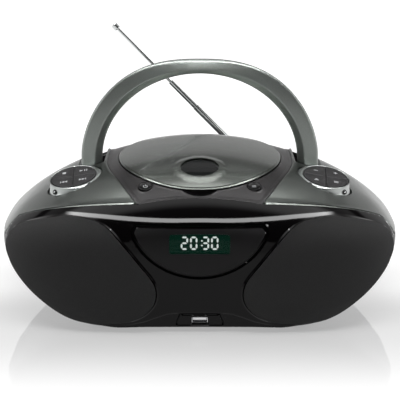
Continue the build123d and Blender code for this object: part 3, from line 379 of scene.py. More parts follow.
def patch(name, loops, step=2.4, proud=0.0, rounding=(0.6,), thick=1.0, extra=None, seeds=None):
    """A closed shell lying on the form. loops are form-angle polylines, the outer one first.

    rounding gives each loop's edge radius; extra(points, u, t, distances) gives more height in mm; seeds are
    form-angle points added where the height changes quickly."""
    rounding = list(rounding) + [rounding[-1]] * (len(loops) - len(rounding))
    edges = [along_loop(lp, step * EDGE_STEP, 12) for lp in loops]
    distance = distance_to(loops)
    rings = [q[distance(surface(*q.T)).min(1) > 0.85 * reach] for loop, r in zip(edges, rounding) if r > 0
             for reach, q in edge_rings(loop, r)]
    (u0, t0), (u1, t1) = edges[0].min(0), edges[0].max(0)
    rows = []
    for i, u in enumerate(np.arange(u0, u1, step * GRID_U)):
        t = np.arange(t0, t1, step * GRID_T) + (i % 2) * step * GRID_SHIFT
        rows.append(np.stack([np.full_like(t, u), t], -1))
    grid = np.vstack(rows)
    grid = grid[between(grid, edges)]
    grid = grid[(distance(surface(*grid.T)) > [max(r * 1.25, 0.45 * step) for r in rounding]).all(1)]
    if seeds is not None:
        seeds = seeds[between(seeds, edges)]
        grid = np.vstack([grid, seeds[(distance(surface(*seeds.T)) > 0.5).all(1)]])
    points = [*edges]
    if rings:
        rings = np.vstack(rings)
        points.append(rings[between(rings, edges)])
    flat, tri = triangulate(np.vstack([*points, grid]), loop_edges(edges), DOMAIN)
    tri = tri[between(flat[tri].mean(1), edges)]
    u, t = flat.T
    s3, nn = surface(u, t), normal(u, t)
    d = distance(s3)
    h = np.full(len(s3), float(proud))
    for k, r in enumerate(rounding):
        g = np.clip(r - d[:, k], 0, r)
        h -= r - np.sqrt(np.maximum(r * r - g * g, 0))
    if extra:
        h += extra(s3, u, t, d)
    return shell(name, s3 + nn * h[:, None], tri, nn, thick, 50)


# ---- materials -----------------------------------------------------------------------
def feed(nt, n, inputs):
    """Set a node's inputs: each value is a constant or another node's output."""
    for k, v in inputs.items():
        if isinstance(v, bpy.types.NodeSocket):
            nt.links.new(v, n.inputs[k])
        else:
            n.inputs[k].default_value = v


def node(nt, kind, inputs=None, **settings):
    n = nt.nodes.new("ShaderNode" + kind)
    for k, v in settings.items():
        setattr(n, k, v)
    feed(nt, n, inputs or {})
    return n


def material(name, dark, light, scale=60.0, rough=(0.3, 0.4), metallic=0.0, coat=0.0, coat_rough=0.05,
             bump=0.0, bump_scale=400.0, specular=0.5):
    """One noise mixes two colours, a coarser one varies the roughness, and a third may give a bump."""
    m = bpy.data.materials.new(name)
    m.use_nodes = True
    nt = m.node_tree
    at_point = node(nt, "TexCoord").outputs["Object"]

    def noise(size, detail):
        return node(nt, "TexNoise", {"Vector": at_point, "Scale": size, "Detail": detail}).outputs["Fac"]

    ramp = node(nt, "ValToRGB", {"Fac": noise(scale, 4.0)})
    for stop, at, colour in zip(ramp.color_ramp.elements, (0.3, 0.7), (dark, light)):
        stop.position, stop.color = at, (*colour, 1)
    roughness = node(nt, "MapRange", {"Value": noise(scale * 0.35, 2.0), "To Min": rough[0],
                                      "To Max": rough[1]})
    shader = nt.nodes["Principled BSDF"]
    feed(nt, shader, {"Base Color": ramp.outputs["Color"], "Roughness": roughness.outputs["Result"],
                      "Metallic": metallic, "Coat Weight": coat, "Coat Roughness": coat_rough,
                      "Specular IOR Level": specular, "IOR": 1.45})
    if bump:
        bumps = node(nt, "Bump", {"Strength": bump, "Distance": 0.0002, "Height": noise(bump_scale, 3.0)})
        feed(nt, shader, {"Normal": bumps.outputs["Normal"]})
    return m


def glow(name, colour, strength):
    m = material(name, [c * 0.5 for c in colour], colour, 300.0, (0.3, 0.4))
    feed(m.node_tree, m.node_tree.nodes["Principled BSDF"],
         {"Emission Color": (*colour, 1), "Emission Strength": strength})
    return m


GLOSS = material("gloss_black", (.0012, .0009, .0011), (.0022, .0017, .0020), 25, (.03, .05), specular=.16,
                 bump=.008, bump_scale=160)
DECK = material("satin_deck", (.0105, .0092, .0097), (.0150, .0135, .0142), 900, (.26, .34), specular=.3,
                bump=.06, bump_scale=2600)
WING = material("gunmetal", (.084, .092, .085), (.114, .124, .115), 2600, (.28, .35), metallic=.9, coat=.3,
                coat_rough=.06, bump=.05, bump_scale=3400)
LID = material("gunmetal_lid", (.125, .136, .124), (.170, .182, .168), 2600, (.20, .26), metallic=.9, coat=.3,
               coat_rough=.06, bump=.05, bump_scale=3400)
HANDLE = material("handle_metal", (.195, .211, .199), (.254, .273, .258), 2600, (.30, .38), metallic=.85,
                  coat=.15, coat_rough=.1, bump=.05, bump_scale=3000)
CABINET = material("cabinet_grey", (.020, .021, .023), (.030, .031, .033), 700, (.46, .6), bump=.35,
                   bump_scale=1500)
GRILLE = material("grille_sheet", (.088, .080, .084), (.125, .114, .120), 500, (.38, .5), metallic=.3,
                  bump=.05, bump_scale=900)
CLOTH = material("grille_cloth", (.004, .004, .004), (.008, .008, .008), 2500, (.8, .95), bump=.4,
                 bump_scale=3000)
CHROME = material("chrome", (.58, .60, .60), (.68, .70, .70), 30, (.10, .16), metallic=1.0)
SEAT = material("seat_metal", (.34, .36, .35), (.44, .46, .45), 60, (.26, .32), metallic=1.0)
STEEL = material("steel", (.45, .45, .46), (.58, .58, .59), 120, (.22, .34), metallic=1.0, bump=.05,
                 bump_scale=600)
PAD = material("pad_black", (.0105, .010, .0105), (.0165, .0158, .0165), 500, (.36, .46), specular=.3,
               bump=.08, bump_scale=2600)
RUBBER = material("rubber", (.012, .012, .012), (.02, .02, .02), 300, (.6, .75), bump=.3, bump_scale=900)
PCB = material("circuit_board", (.006, .05, .02), (.012, .09, .035), 90, (.3, .45), bump=.1, bump_scale=500)
PAPER = material("speaker_paper", (.012, .012, .012), (.028, .027, .027), 900, (.7, .9), bump=.6,
                 bump_scale=1200)
FERRITE = material("ferrite", (.03, .03, .033), (.07, .07, .075), 250, (.5, .7), bump=.4, bump_scale=600)
PRINT = material("print", (.42, .43, .44), (.55, .56, .57), 400, (.4, .5))
BLUE = material("lens_coat", (.12, .14, .30), (.22, .25, .5), 60, (.05, .1), specular=.8)
DIGIT = glow("digit", (.92, 1.0, .96), 3.2)
PANEL_GREEN = glow("lcd_green", (.0, .030, .016), 1.9)
MASK = material("display_mask", (.002, .002, .002), (.004, .0035, .004), 60, (.35, .45), specular=.2)


def clear_glass(name, tint, mix, specular):
    """Smoked plastic: mostly clear, with a gloss that grows at flat angles."""
    m = material(name, tint, tint, 40, (.03, .05), specular=specular)
    m.node_tree.nodes["Principled BSDF"].inputs["Alpha"].default_value = mix
    return m


WINDOW = clear_glass("smoked_window", (.003, .003, .003), .55, .11)
DISC_WINDOW = clear_glass("disc_window", (.010, .011, .011), .62, .45)


def paint(ob, *mats):
    ob.data.materials.clear()
    for m in mats:
        ob.data.materials.append(m)
def place(ob, node_name, mat, replace=True):
    """Give a piece its finish and its body, and hide the CAD node that it stands for."""
    paint(ob, mat)
    if replace:
        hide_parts(node_name)
    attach(ob, next(b for b, names in frame["record"]["behaviour"]["bodies"].items() if node_name in names))


# ---- outlines of the skins ------------------------------------------------------------
BROW_SLOPE, BROW_LEVEL = 0.47, 59.1
FACE_SLOPE, FACE_SET = 0.8, 112.0
BELT_Z, UNDER_EDGE_Z = 68.0, 3.0
corner_z = (BROW_LEVEL + BROW_SLOPE * FACE_SET) / (1 + BROW_SLOPE * FACE_SLOPE)
corner_y = FACE_SLOPE * corner_z - FACE_SET


def solve(fn, lo, hi, n=60):
    """Root of fn between lo and hi, for arrays."""
    lo, hi = np.array(lo, float), np.array(hi, float)
    flo = fn(lo)
    for _ in range(n):
        mid = (lo + hi) / 2
        fm = fn(mid)
        same = np.sign(fm) == np.sign(flo)
        lo, hi = np.where(same, mid, lo), np.where(same, hi, mid)
    return (lo + hi) / 2


DECK_FRONT, DECK_MID_Y, DECK_WAIST, DECK_SIDE = (51.5, -96.8), -94.2, (73.6, -48.2), (82.2, -5.0)
# brow line from the deck's front corner to the panel's rear corner, in form angles
x_corner = float(solve(lambda x: front_y(x, np.full_like(x, corner_z)) - corner_y, [100.0], [172.9])[0])
bx = np.r_[np.linspace(DECK_FRONT[0], 150, 60), 150 + (x_corner - 150) * np.linspace(0, 1, 14)[1:]]
bt = solve(lambda t: surface(np.arcsin(bx / HALF_WIDTH), t)[:, 2]
           + BROW_SLOPE * surface(np.arcsin(bx / HALF_WIDTH), t)[:, 1] - BROW_LEVEL,
           np.full_like(bx, math.pi / 2 + 0.05), np.full_like(bx, math.pi))
BROW = np.stack([np.arcsin(bx / HALF_WIDTH), bt], -1)
# the panel's rear edge, from the brow corner down to the belt and on to the floor
pz = np.r_[np.linspace(corner_z, BELT_Z, 14), np.linspace(BELT_Z, UNDER_EDGE_Z, 70)[1:]]
px = solve(lambda x: front_y(x, pz) - (FACE_SLOPE * pz - FACE_SET), np.full_like(pz, 40.0),
           np.full_like(pz, 172.9))
REAR_EDGE = from_front(np.stack([px, pz], -1))
low = from_front(np.stack([np.linspace(px[-1], -px[-1], 90), np.full(90, UNDER_EDGE_Z)], -1))
deck_arc = arc3((-DECK_FRONT[0], DECK_FRONT[1]), (0, DECK_MID_Y), DECK_FRONT, 50)
DECK_EDGE_FRONT = from_plan(deck_arc)

panel_outer = np.vstack([DECK_EDGE_FRONT[:-1], BROW[:-1], REAR_EDGE[:-1], low[:-1],
                         mirror(REAR_EDGE)[::-1][:-1], mirror(BROW)[::-1][:-1]])

GRILLE_PTS = np.array([(159.0, 64.0), (152.0, 76.0), (124.0, 87.0), (100.0, 90.5), (79.0, 86.8),
                       (64.5, 74.0), (50.8, 57.5), (38.6, 40.0), (38.8, 27.0), (50.0, 15.6), (72.0, 10.6),
                       (103.0, 13.0), (127.0, 25.8), (149.8, 46.2)])
grille_loop = {s: spline(GRILLE_PTS * np.array([s, 1])) for s in (-1, 1)}
moon = np.vstack([arc3((-52.5, 90.1), (0, 89.7), (52.5, 90.1), 40),
                  arc3((56.5, 84.5), (0, 47.2), (-56.5, 84.5), 60)])
moon = np.array(round_corners(resample(moon, 3.0), 2.0, 3))
usb = round_corners([(-20, 6.2), (20, 6.2), (16, 15.7), (-16, 15.7)], 1.2)


def chin_line(x):
    return np.interp(np.abs(x), [0, 21, 27, 35, 46, 62, 90], [17.6, 17.5, 16.9, 14.2, 10.0, 6.4, 3.6])


def chin(p, u, t, d):
    """The raised lip that holds the USB insert: its upper edge is a low smile-shaped step."""
    x, z = p[:, 0], p[:, 2]
    fade = 1 - ramp01(np.abs(x), 40, 72)
    return 1.15 * fade * (1 - ramp01(z - chin_line(x), -0.9, 0.8))


LIP = 2.8


def panel_relief(p, u, t, d):
    """The chin, and the lip that falls to each speaker opening, steeper towards the opening."""
    w = np.maximum(LIP - d[:, 1:3].min(1), 0)
    return chin(p, u, t, d) - 0.65 * w - 0.07 * w ** 2


Q = 2.2
chin_x = np.linspace(-72, 72, 181)
chin_seeds = from_front(np.vstack([np.stack([chin_x, chin_line(chin_x) + dz], -1)
                                   for dz in (-1.2, -0.8, -0.45, -0.1, 0.25, 0.6, 0.95)]))
lip_seeds = from_front(np.vstack([grow(grille_loop[s], 0.2 + w) for s in (-1, 1)
                                  for w in (0.5, 0.9, 1.3, 1.7, 2.1, 2.5, 2.8, 3.1)]))
panel = patch("front_panel_skin", [panel_outer, from_front(grow(grille_loop[1], 0.2)),
                                   from_front(grow(grille_loop[-1], 0.2)), from_front(grow(moon, 0.25)),
                                   from_front(grow(usb, 0.2))],
              step=Q, proud=0.3, rounding=(0.9, 0.3, 0.3, 0.6, 0.35), thick=2.3,
              extra=panel_relief, seeds=np.vstack([chin_seeds, lip_seeds]))
place(panel, "front_panel", GLOSS)

# ---- grilles --------------------------------------------------------------------------
PITCH = 2.5
HOLE_R, HOLE_SIDES = PITCH * 0.39, 8


def sheet_with_holes(name, outline, centres, proud, thick):
    """A stamped sheet on the front: outline and holes are seen straight from the front."""
    turn = 2 * math.pi * (np.arange(HOLE_SIDES) + 0.5) / HOLE_SIDES
    circle = HOLE_R * np.stack([np.cos(turn), np.sin(turn)], -1)
    loops = [resample(outline, 1.2), *(c + circle for c in centres)]
    flat, tri = triangulate(np.vstack(loops), loop_edges(loops), near=1e-5)
    middle = flat[tri].mean(1)
    tree = tree_of([(*c, 0) for c in centres])
    near = np.array([tree.find((*c, 0))[2] for c in middle])
    tri = tri[inside(middle, loops[0]) & (near > HOLE_R * math.cos(math.pi / HOLE_SIDES) * 0.93)]
    u, t = from_front(flat).T
    nn = normal(u, t)
    return shell(name, surface(u, t) + nn * proud, tri, nn, thick, 40)


for side, tag in ((-1, "left"), (1, "right")):
    rows = np.arange(8, 94, PITCH * math.sqrt(3) / 2)
    centres = np.array([(side * (36 + PITCH * (i + 0.5 * (j % 2))), z) for j, z in enumerate(rows)
                        for i in range(int(128 / PITCH))])
    centres = centres[inside(centres, grow(grille_loop[side], -1.9))]
    sheet = sheet_with_holes(f"grille_sheet_{tag}", grow(grille_loop[side], -0.3), centres, -0.8, 0.8)
    place(sheet, f"grille_{tag}", GRILLE)
    cloth = patch(f"grille_cloth_{tag}", [from_front(grow(grille_loop[side], 1.5))], step=6, proud=-4.2,
                  rounding=(0,), thick=0.6)
    place(cloth, f"grille_{tag}", CLOTH, replace=False)

# ---- display --------------------------------------------------------------------------

def bezel_slope(p, u, t, d):
    """The bezel rises a little inward from its outer edge, so its upper part leans back like the brow."""
    return np.maximum(0.13 - 2.66e-5 * p[:, 0] ** 2, 0.05) * np.minimum(d[:, 0], 2.6)


bezel = patch("display_bezel_ring", [from_front(moon), from_front(grow(moon, -3.3))], step=1.0, proud=0.75,
              rounding=(0.5, 0.7), thick=3.0, extra=bezel_slope)
place(bezel, "display_bezel", GLOSS)
window = patch("display_window_pane", [from_front(grow(moon, -3.35))], step=3, proud=-0.2, rounding=(0.2,),
               thick=1.5)
place(window, "display_window", WINDOW)
lcd_hole = round_corners([(-25, 67.8), (25, 67.8), (25, 83), (-25, 83)], 1.0)
mask = patch("display_mask", [from_front(grow(moon, -2.4)), from_front(lcd_hole)], step=3.5, proud=-2.5,
             rounding=(0, 0), thick=0.4)
place(mask, "display_window", MASK, replace=False)

SEGMENTS = {"0": "abcdef", "2": "abged", "3": "abgcd"}
SEG_SHAPE = {"a": ((0.1, 1), (0.9, 1)), "g": ((0.1, 0.5), (0.9, 0.5)), "d": ((0.1, 0), (0.9, 0)),
             "b": ((1, 0.56), (1, 0.94)), "c": ((1, 0.06), (1, 0.44)),
             "f": ((0, 0.56), (0, 0.94)), "e": ((0, 0.06), (0, 0.44))}


def segment_digits(text, x0, z0, w, h, pitch, bar, y):
    """Seven-segment digits as thin raised bars with pointed ends."""
    verts, faces = [], []
    x = x0

    def bar_between(a, b):
        a, b = np.array(a), np.array(b)
        d = (b - a) / np.linalg.norm(b - a)
        n = np.array([-d[1], d[0]])
        pts = [a - d * bar * 0.1, a + d * bar * 0.5 + n * bar / 2, b - d * bar * 0.5 + n * bar / 2,
               b + d * bar * 0.1, b - d * bar * 0.5 - n * bar / 2, a + d * bar * 0.5 - n * bar / 2]
        faces.extend(skin(2, len(pts), len(verts)))
        for yy in (y, y + 0.12):
            verts.extend((p[0], yy, p[1]) for p in pts)

    for ch in text:
        if ch == ":":
            for zz in (0.3, 0.7):
                cx, cz = x + bar * 0.9, z0 + h * zz
                bar_between((cx - bar * 0.55, cz), (cx + bar * 0.55, cz))
            x += pitch * 0.26
            continue
        for s in SEGMENTS[ch]:
            (ax, az), (bx_, bz) = SEG_SHAPE[s]
            bar_between((x + ax * w, z0 + az * h), (x + bx_ * w, z0 + bz * h))
        x += pitch
    return finish_mesh(add_mesh("lcd_digits", verts, faces, smooth=False))


digits = segment_digits("20:30", x0=-14.9, z0=69.9, w=4.6, h=9.9, pitch=7.65, bar=1.5, y=-108.9)
place(digits, "lcd_module", DIGIT, replace=False)

# ---- USB insert -----------------------------------------------------------------------
socket_hole = round_corners([(-6.7, 6.85), (6.7, 6.85), (6.7, 12.85), (-6.7, 12.85)], 0.5, 2)
usb_plate = patch("usb_insert", [from_front(usb), from_front(socket_hole)], step=1.6, proud=0.5,
                  rounding=(0.5, 0.4), thick=2.4)
place(usb_plate, "usb_panel", GLOSS)

# ---- top covers -----------------------------------------------------------------------
SIDE_U = math.asin(DECK_SIDE[0] / HALF_WIDTH)
deck_side_arc = arc3(DECK_FRONT, DECK_WAIST, DECK_SIDE, 60)


def t_at_height(u, z, lo, hi):
    u = np.asarray(u, float)
    return solve(lambda t: surface(u, t)[:, 2] - z, np.full_like(u, lo), np.full_like(u, hi))


def belt(t0, t1, n, z=BELT_Z):
    """The level line round the end of the form, from section angle t0 to t1."""
    t = np.linspace(t0, t1, n)
    u = solve(lambda v: surface(v, t)[:, 2] - z, np.full(n, 0.05), np.full(n, math.pi / 2 - 1e-4))
    return np.stack([u, t], -1)


face_edge = REAR_EDGE[:14]
t_rear = float(t_at_height([SIDE_U], BELT_Z, 1e-4, 1.2)[0])
t_side_start = float(from_plan([DECK_SIDE])[0, 1])
side_line = np.stack([np.full(50, SIDE_U), np.linspace(t_rear, t_side_start, 50)], -1)
wing_loop = np.vstack([BROW[:-1], face_edge[:-1], belt(face_edge[-1, 1], t_rear, 120)[:-1], side_line[:-1],
                       from_plan(deck_side_arc)[::-1][:-1]])
GROOVE_X, GROOVE_Y, POCKET_Z, POCKET_WALL = (84.8, 107.8), (-6.0, 75.0), 102.0, 1.5
GROOVE = round_corners([(x, y) for x, y in zip(GROOVE_X + GROOVE_X[::-1], np.repeat(GROOVE_Y, 2))], 1.2)
# the antenna's trough, across the rear edge of the deck and the left cover
TROUGH_X, TROUGH_Y, TROUGH_Z = (-88.0, 78.0), 102.0, 71.0
tx = np.linspace(*TROUGH_X, 60)
low_u = np.arcsin(tx[::-1] / HALF_WIDTH)
trough = np.vstack([from_plan(np.stack([tx, np.full(60, TROUGH_Y)], -1)),
                    np.stack([low_u, t_at_height(low_u, TROUGH_Z, 1e-4, 1.2)], -1)])

# key pads: a plane on each wing, and the flared ring round it
PAD_AT, PAD_PITCH, PAD_ROLL, PAD_R = (109.0, -36.0, 113.8), 14.0, 9.0, 19.7
SEAT_TOP, SEAT_LOW, SEAT_DEPTH, SEAT_BACK = (22.5, 1.9), (31.5, 6.1), 16.0, -8.5


def pad_axes(side):
    roll, pitch = side * math.tan(math.radians(PAD_ROLL)), math.tan(math.radians(PAD_PITCH))
    n = np.array([roll, -pitch, 1.0])
    n /= np.linalg.norm(n)
    ax = np.array([1, 0, -roll])
    ax /= np.linalg.norm(ax)
    return np.array([side * PAD_AT[0], PAD_AT[1], PAD_AT[2]]), ax, np.cross(n, ax), n


def seat_foot(side, n=144):
    """Where the flared ring meets the form, one point for each direction."""
    o, ax, ay, nz = pad_axes(side)
    a = 2 * math.pi * np.arange(n) / n

    def at(depth):
        k = depth / SEAT_DEPTH
        r = SEAT_TOP[0] + (SEAT_LOW[0] - SEAT_TOP[0]) * k
        sh = -side * (SEAT_TOP[1] + (SEAT_LOW[1] - SEAT_TOP[1]) * k)
        return (o - nz * depth[:, None] + ax * (sh + r * np.cos(a))[:, None] + ay * (r * np.sin(a))[:, None])

    depth = solve(lambda d: at(d)[:, 2] - top_z(at(d)[:, 0], at(d)[:, 1]), np.full(n, -3.0), np.full(n, 30.0))
    return at(depth), depth


def wing_bevel(p, u, t, d):
    """A bevel along the cover's front edge, widest beside the deck: it rises, then eases off."""
    brow = surface(np.sign(u) * np.clip(np.abs(u), BROW[0, 0], BROW[-1, 0]),
                   np.interp(np.abs(u), BROW[:, 0], BROW[:, 1]))
    away = np.linalg.norm(p - brow, axis=-1)
    width = np.interp(np.abs(p[:, 0]), [51, 100, 140, 165], [7.5, 6.0, 3.5, 1.2])
    rise = 0.22 * np.minimum(away, width)
    return rise * (1 - ramp01(away, width + 2, width + 40))

def pocket(name, side):
    """The pocket that the handle folds into, a box open at the top."""
    turns = ((0, 0), (1, 0), (1, 1), (0, 1))
    corners = [(side * GROOVE_X[i], GROOVE_Y[j]) for i, j in turns]
    outer = [(side * (GROOVE_X[i] + (2 * i - 1) * POCKET_WALL), GROOVE_Y[j] + (2 * j - 1) * POCKET_WALL)
             for i, j in turns]
    verts = [(x, y, float(top_z(np.array([x]), np.array([y]))[0]) - 0.8) for x, y in corners + outer]
    verts += [(x, y, POCKET_Z) for x, y in corners] + [(x, y, POCKET_Z - POCKET_WALL) for x, y in outer]
    faces = [(a + i, a + (i + 1) % 4, b + (i + 1) % 4, b + i) for a, b in ((0, 4), (8, 0), (4, 12))
             for i in range(4)] + [(8, 11, 10, 9), (12, 13, 14, 15)]
    return finish_mesh(add_mesh(name, verts, faces, smooth=False), cuts=1)


for side, tag in ((-1, "left"), (1, "right")):
    foot, _ = seat_foot(side)
    hole = foot[:, :2].copy()
    hole[:, 1] = np.minimum(hole[:, 1], SEAT_BACK)
    flip_side = np.array([side, 1])
    loops = [wing_loop * flip_side, from_plan(GROOVE * flip_side), from_plan(resample(hole, 1.0))]
    if side < 0:
        loops.append(trough)
    wing = patch(f"top_cover_skin_{tag}", loops, step=Q + 0.3, proud=0.15, rounding=(0.9, 0.8, 0.3),
                 thick=2.2, extra=wing_bevel)
    place(wing, f"top_cover_{tag}", WING)
    place(pocket(f"handle_pocket_{tag}", side), f"top_cover_{tag}", DECK, replace=False)

# ---- centre deck ----------------------------------------------------------------------
LID_Y, LID_HALF, LID_FRONT, LID_BACK, LID_ROUND = 10.0, 71.7, 96.0, 62.0, 2.2
NOTCH_R, NOTCH_Y = 20.0, -72.0
SLOT_X, SLOT_BACK = (27.5, 36.5), 91.0
ROUND_KEY, ROUND_KEY_R = (45.5, -78.0), 5.9


def egg(front, back, half, n=240):
    a = 2 * math.pi * np.arange(n) / n
    c, s = np.cos(a), np.sin(a)
    reach = np.where(s > 0, back, front)
    p = np.where(s > 0, 2.0, LID_ROUND)
    return np.stack([half * np.sign(c) * np.abs(c) ** (2 / p),
                     LID_Y + reach * np.sign(s) * np.abs(s) ** (2 / p)], -1)


def well_outline():
    """The lid's opening, joined with the finger notch in front and the two hinge slots behind."""
    half, back = LID_HALF + 0.8, LID_BACK + 2.5
    pts = egg(LID_FRONT + 0.8, back, half, 300)
    rear = lambda x: LID_Y + back * math.sqrt(1 - (x / half) ** 2)
    pts = pts[np.hypot(pts[:, 0], pts[:, 1] - NOTCH_Y) > NOTCH_R]
    start = np.argmax(np.linalg.norm(np.diff(np.vstack([pts, pts[:1]]), axis=0), axis=1)) + 1
    pts = np.roll(pts, -start, 0)
    first, last = (math.atan2(q[1] - NOTCH_Y, q[0]) for q in (pts[-1], pts[0]))
    arc = np.linspace(first, last if last > first else last + 2 * math.pi, 50)[1:-1]
    out = [(NOTCH_R * math.cos(a), NOTCH_Y + NOTCH_R * math.sin(a)) for a in arc]
    for x, y in pts:
        slot = SLOT_X[0] <= abs(x) <= SLOT_X[1] and y > 40
        if not slot:
            out.append((x, y))
        elif abs(out[-1][1] - SLOT_BACK) > 1e-6:
            near, far = SLOT_X[::-1] if x > 0 else (-SLOT_X[0], -SLOT_X[1])
            out += [(near, rear(near)), (near, SLOT_BACK), (far, SLOT_BACK)]
            corner = (far, rear(far))
        if not slot and len(out) > 1 and abs(out[-2][1] - SLOT_BACK) < 1e-6:
            out.insert(-1, corner)
    return np.array(out)


u_arc = np.linspace(SIDE_U, -SIDE_U, 120)
rear_edge = np.stack([u_arc, t_at_height(u_arc, BELT_Z, 1e-4, 1.2)], -1)
deck_side = from_plan(deck_side_arc)
deck_outer = np.vstack([DECK_EDGE_FRONT[:-1], deck_side[:-1], side_line[::-1][:-1], rear_edge[:-1],
                        mirror(side_line)[:-1], mirror(deck_side)[::-1][:-1]])


def deck_swell(p, u, t, d):
    """The deck rises gently from its parting lines, then falls to the lid."""
    x, y = p[:, 0], p[:, 1]
    away = np.minimum(d[:, 0], 9.0)
    lift = 1.5 * ramp01(away, 0.0, 8.0)
    lid = 0.25 + 1.25 * ramp01(d[:, 1], 0.0, 6.0)
    key = 0.2 + 1.3 * ramp01(np.minimum(d[:, 2], d[:, 3]), 0.5, 3.5)
    behind = 1 - ramp01(y, 55, 85)
    return np.minimum(np.minimum(lift, lid), key) * behind
key_holes = [from_plan(ring(side * ROUND_KEY[0], ROUND_KEY[1], ROUND_KEY_R + 0.4, 40)) for side in (1, -1)]
deck = patch("centre_deck_skin", [deck_outer, from_plan(well_outline()), *key_holes, trough], step=Q,
             proud=0.25, rounding=(0.5, 0.6, 0.4, 0.4, 0.4), thick=0.9, extra=deck_swell)
place(deck, "centre_deck", DECK, replace=False)

# ---- disc lid -------------------------------------------------------------------------
WINDOW_Y, WINDOW_R, DISH_R, DISH_DEPTH = -55.5, 15.6, 21.5, 0.95


def lid_dish(p, u, t, d):
    r = np.hypot(p[:, 0], p[:, 1] - WINDOW_Y)
    return -DISH_DEPTH * (1 - ramp01(r, DISH_R - 1.6, DISH_R + 0.2))


lid = patch("disc_lid", [from_plan(egg(LID_FRONT, LID_BACK, LID_HALF)),
                         from_plan(ring(0, WINDOW_Y, WINDOW_R + .15))],
            step=Q, proud=0.35, rounding=(1.3, 0.3), thick=2.4, extra=lid_dish)
place(lid, "cd_lid", LID)
pane = patch("disc_window_pane", [from_plan(ring(0, WINDOW_Y, WINDOW_R))], step=2.4, proud=-0.5,
             rounding=(0.3,), thick=1.2)
place(pane, "lid_window", DISC_WINDOW)

# hinge arms under and behind the lid: one side outline, eased at both faces
ARM_X, ARM_HALF, ARM_EASE = 32.0, 4.0, 0.5
ARM = np.array([(46, 125.0), (64, 123.0), (82, 118.5), (86.5, 119.4), (87.5, 122), (86.5, 124.6), (84, 125.5),
                (64, 129.4), (46, 130.4)])
verts, faces = [], []
for cx in (-ARM_X, ARM_X):
    faces += skin(4, len(ARM), len(verts))
    inner_face = ARM_HALF - ARM_EASE
    for dx, cut in ((-ARM_HALF, ARM_EASE), (-inner_face, 0), (inner_face, 0), (ARM_HALF, ARM_EASE)):
        away = ARM - ARM.mean(0)
        eased = ARM.mean(0) + away * (1 - cut / np.linalg.norm(away, axis=1, keepdims=True))
        verts += [(cx + dx, y, z) for y, z in eased]
arms = finish_mesh(add_mesh("lid_arms", verts, faces, smooth=False))
place(arms, "cd_lid", LID, replace=False)

# ---- handle ---------------------------------------------------------------------------
PIVOT_Y, FOOT_Z = 4.0, (103.6, 106, 109, 112, 115, 118, 120)
INNER_X, INNER_Z, INNER_TOP = 86.9, 121.7, 198.8
OUTER_X, OUTER_Z, OUTER_TOP = 105.3, 126.0, 211.5
FOOT_ROUND_Z, FOOT_ROUND = 112.0, 9.0
SECTION_EDGE, SECTION_RIDGE, RIDGE_AT = 4.0, 7.4, 0.36


def arch_edges(turn):
    """Inner and outer edge of the arch at a turn, in the front view."""
    s, sign = math.sin(turn), 1 if math.cos(turn) >= 0 else -1
    ix = INNER_X * max(0.0, 1 - s ** 2.0) ** 0.5
    ox = OUTER_X * max(0.0, 1 - s ** 1.74) ** (1 / 2.54)
    return (np.array([sign * ix, INNER_Z + (INNER_TOP - INNER_Z) * s]),
            np.array([sign * ox, OUTER_Z + (OUTER_TOP - OUTER_Z) * s]))


def handle_section(half):
    """Rounded wedge: (across, depth) points, ridges nearer the inner edge."""
    upper = [(-half, SECTION_EDGE), (-RIDGE_AT * half, SECTION_RIDGE), (half, SECTION_EDGE)]
    return round_corners(upper + [(x, -y) for x, y in upper[::-1]], 0, cuts=(2.2, 1.0, 2.6, 2.6, 1.0, 2.2))


foot = lambda sign: [(np.array([sign * INNER_X, z]), np.array([sign * OUTER_X, z])) for z in FOOT_Z]
steps = 120
rows = foot(1) + [arch_edges(math.pi * i / steps) for i in range(steps + 1)] + foot(-1)[::-1]
verts = []
for inner, outer in rows:
    half = np.linalg.norm(outer - inner) / 2
    d = (outer - inner) / (2 * half)
    mid = (inner + outer) / 2
    low = np.clip((FOOT_ROUND_Z - mid[1]) / FOOT_ROUND, 0, 1)
    squeeze = math.sqrt(max(1e-3, 1 - low ** 2))
    verts += [(mid[0] + d[0] * a, PIVOT_Y + b * squeeze, mid[1] + d[1] * a) for a, b in handle_section(half)]
handle = finish_mesh(add_mesh("handle_arch", verts, skin(len(rows), len(verts) // len(rows))), 60)
place(handle, "handle", HANDLE)


# ---- key pads -------------------------------------------------------------------------
def lathe(name, profile, axes, n=72):
    """Turned piece: (radius, height) profile about the last axis, closed where the radius is 0."""
    origin, ax, ay, nz = axes
    verts, faces, rings = [], [], []
    for r, h in profile:
        if r < 1e-6:
            rings.append([len(verts)] * n)
            verts.append(origin + nz * h)
        else:
            rings.append(list(range(len(verts), len(verts) + n)))
            verts += [origin + ax * x + ay * y + nz * h for x, y in ring(0, 0, r, n)]
    for a, b in zip(rings, rings[1:]):
        for i in range(n):
            f = list(dict.fromkeys((a[i], a[(i + 1) % n], b[(i + 1) % n], b[i])))
            if len(f) > 2:
                faces.append(f)
    return finish_mesh(add_mesh(name, verts, faces), 45)


def prism(name, loop, h0, h1, axes, ease=0.0):
    """Flat-topped piece from one outline in a plane, its top edge eased."""
    origin, ax, ay, nz = axes
    loop = np.asarray(loop, float)
    rows = [(loop, h0), (loop, h1 - ease)]
    if ease:
        rows += [(loop - outward(loop) * ease * (1 - math.cos(a)), h1 - ease + ease * math.sin(a))
                 for a in math.pi / 2 * np.array([0.3, 0.6, 1.0])]
    verts = [origin + ax * x + ay * y + nz * h for lp, h in rows for x, y in lp]
    return finish_mesh(add_mesh(name, verts, skin(len(rows), len(loop))), 40)


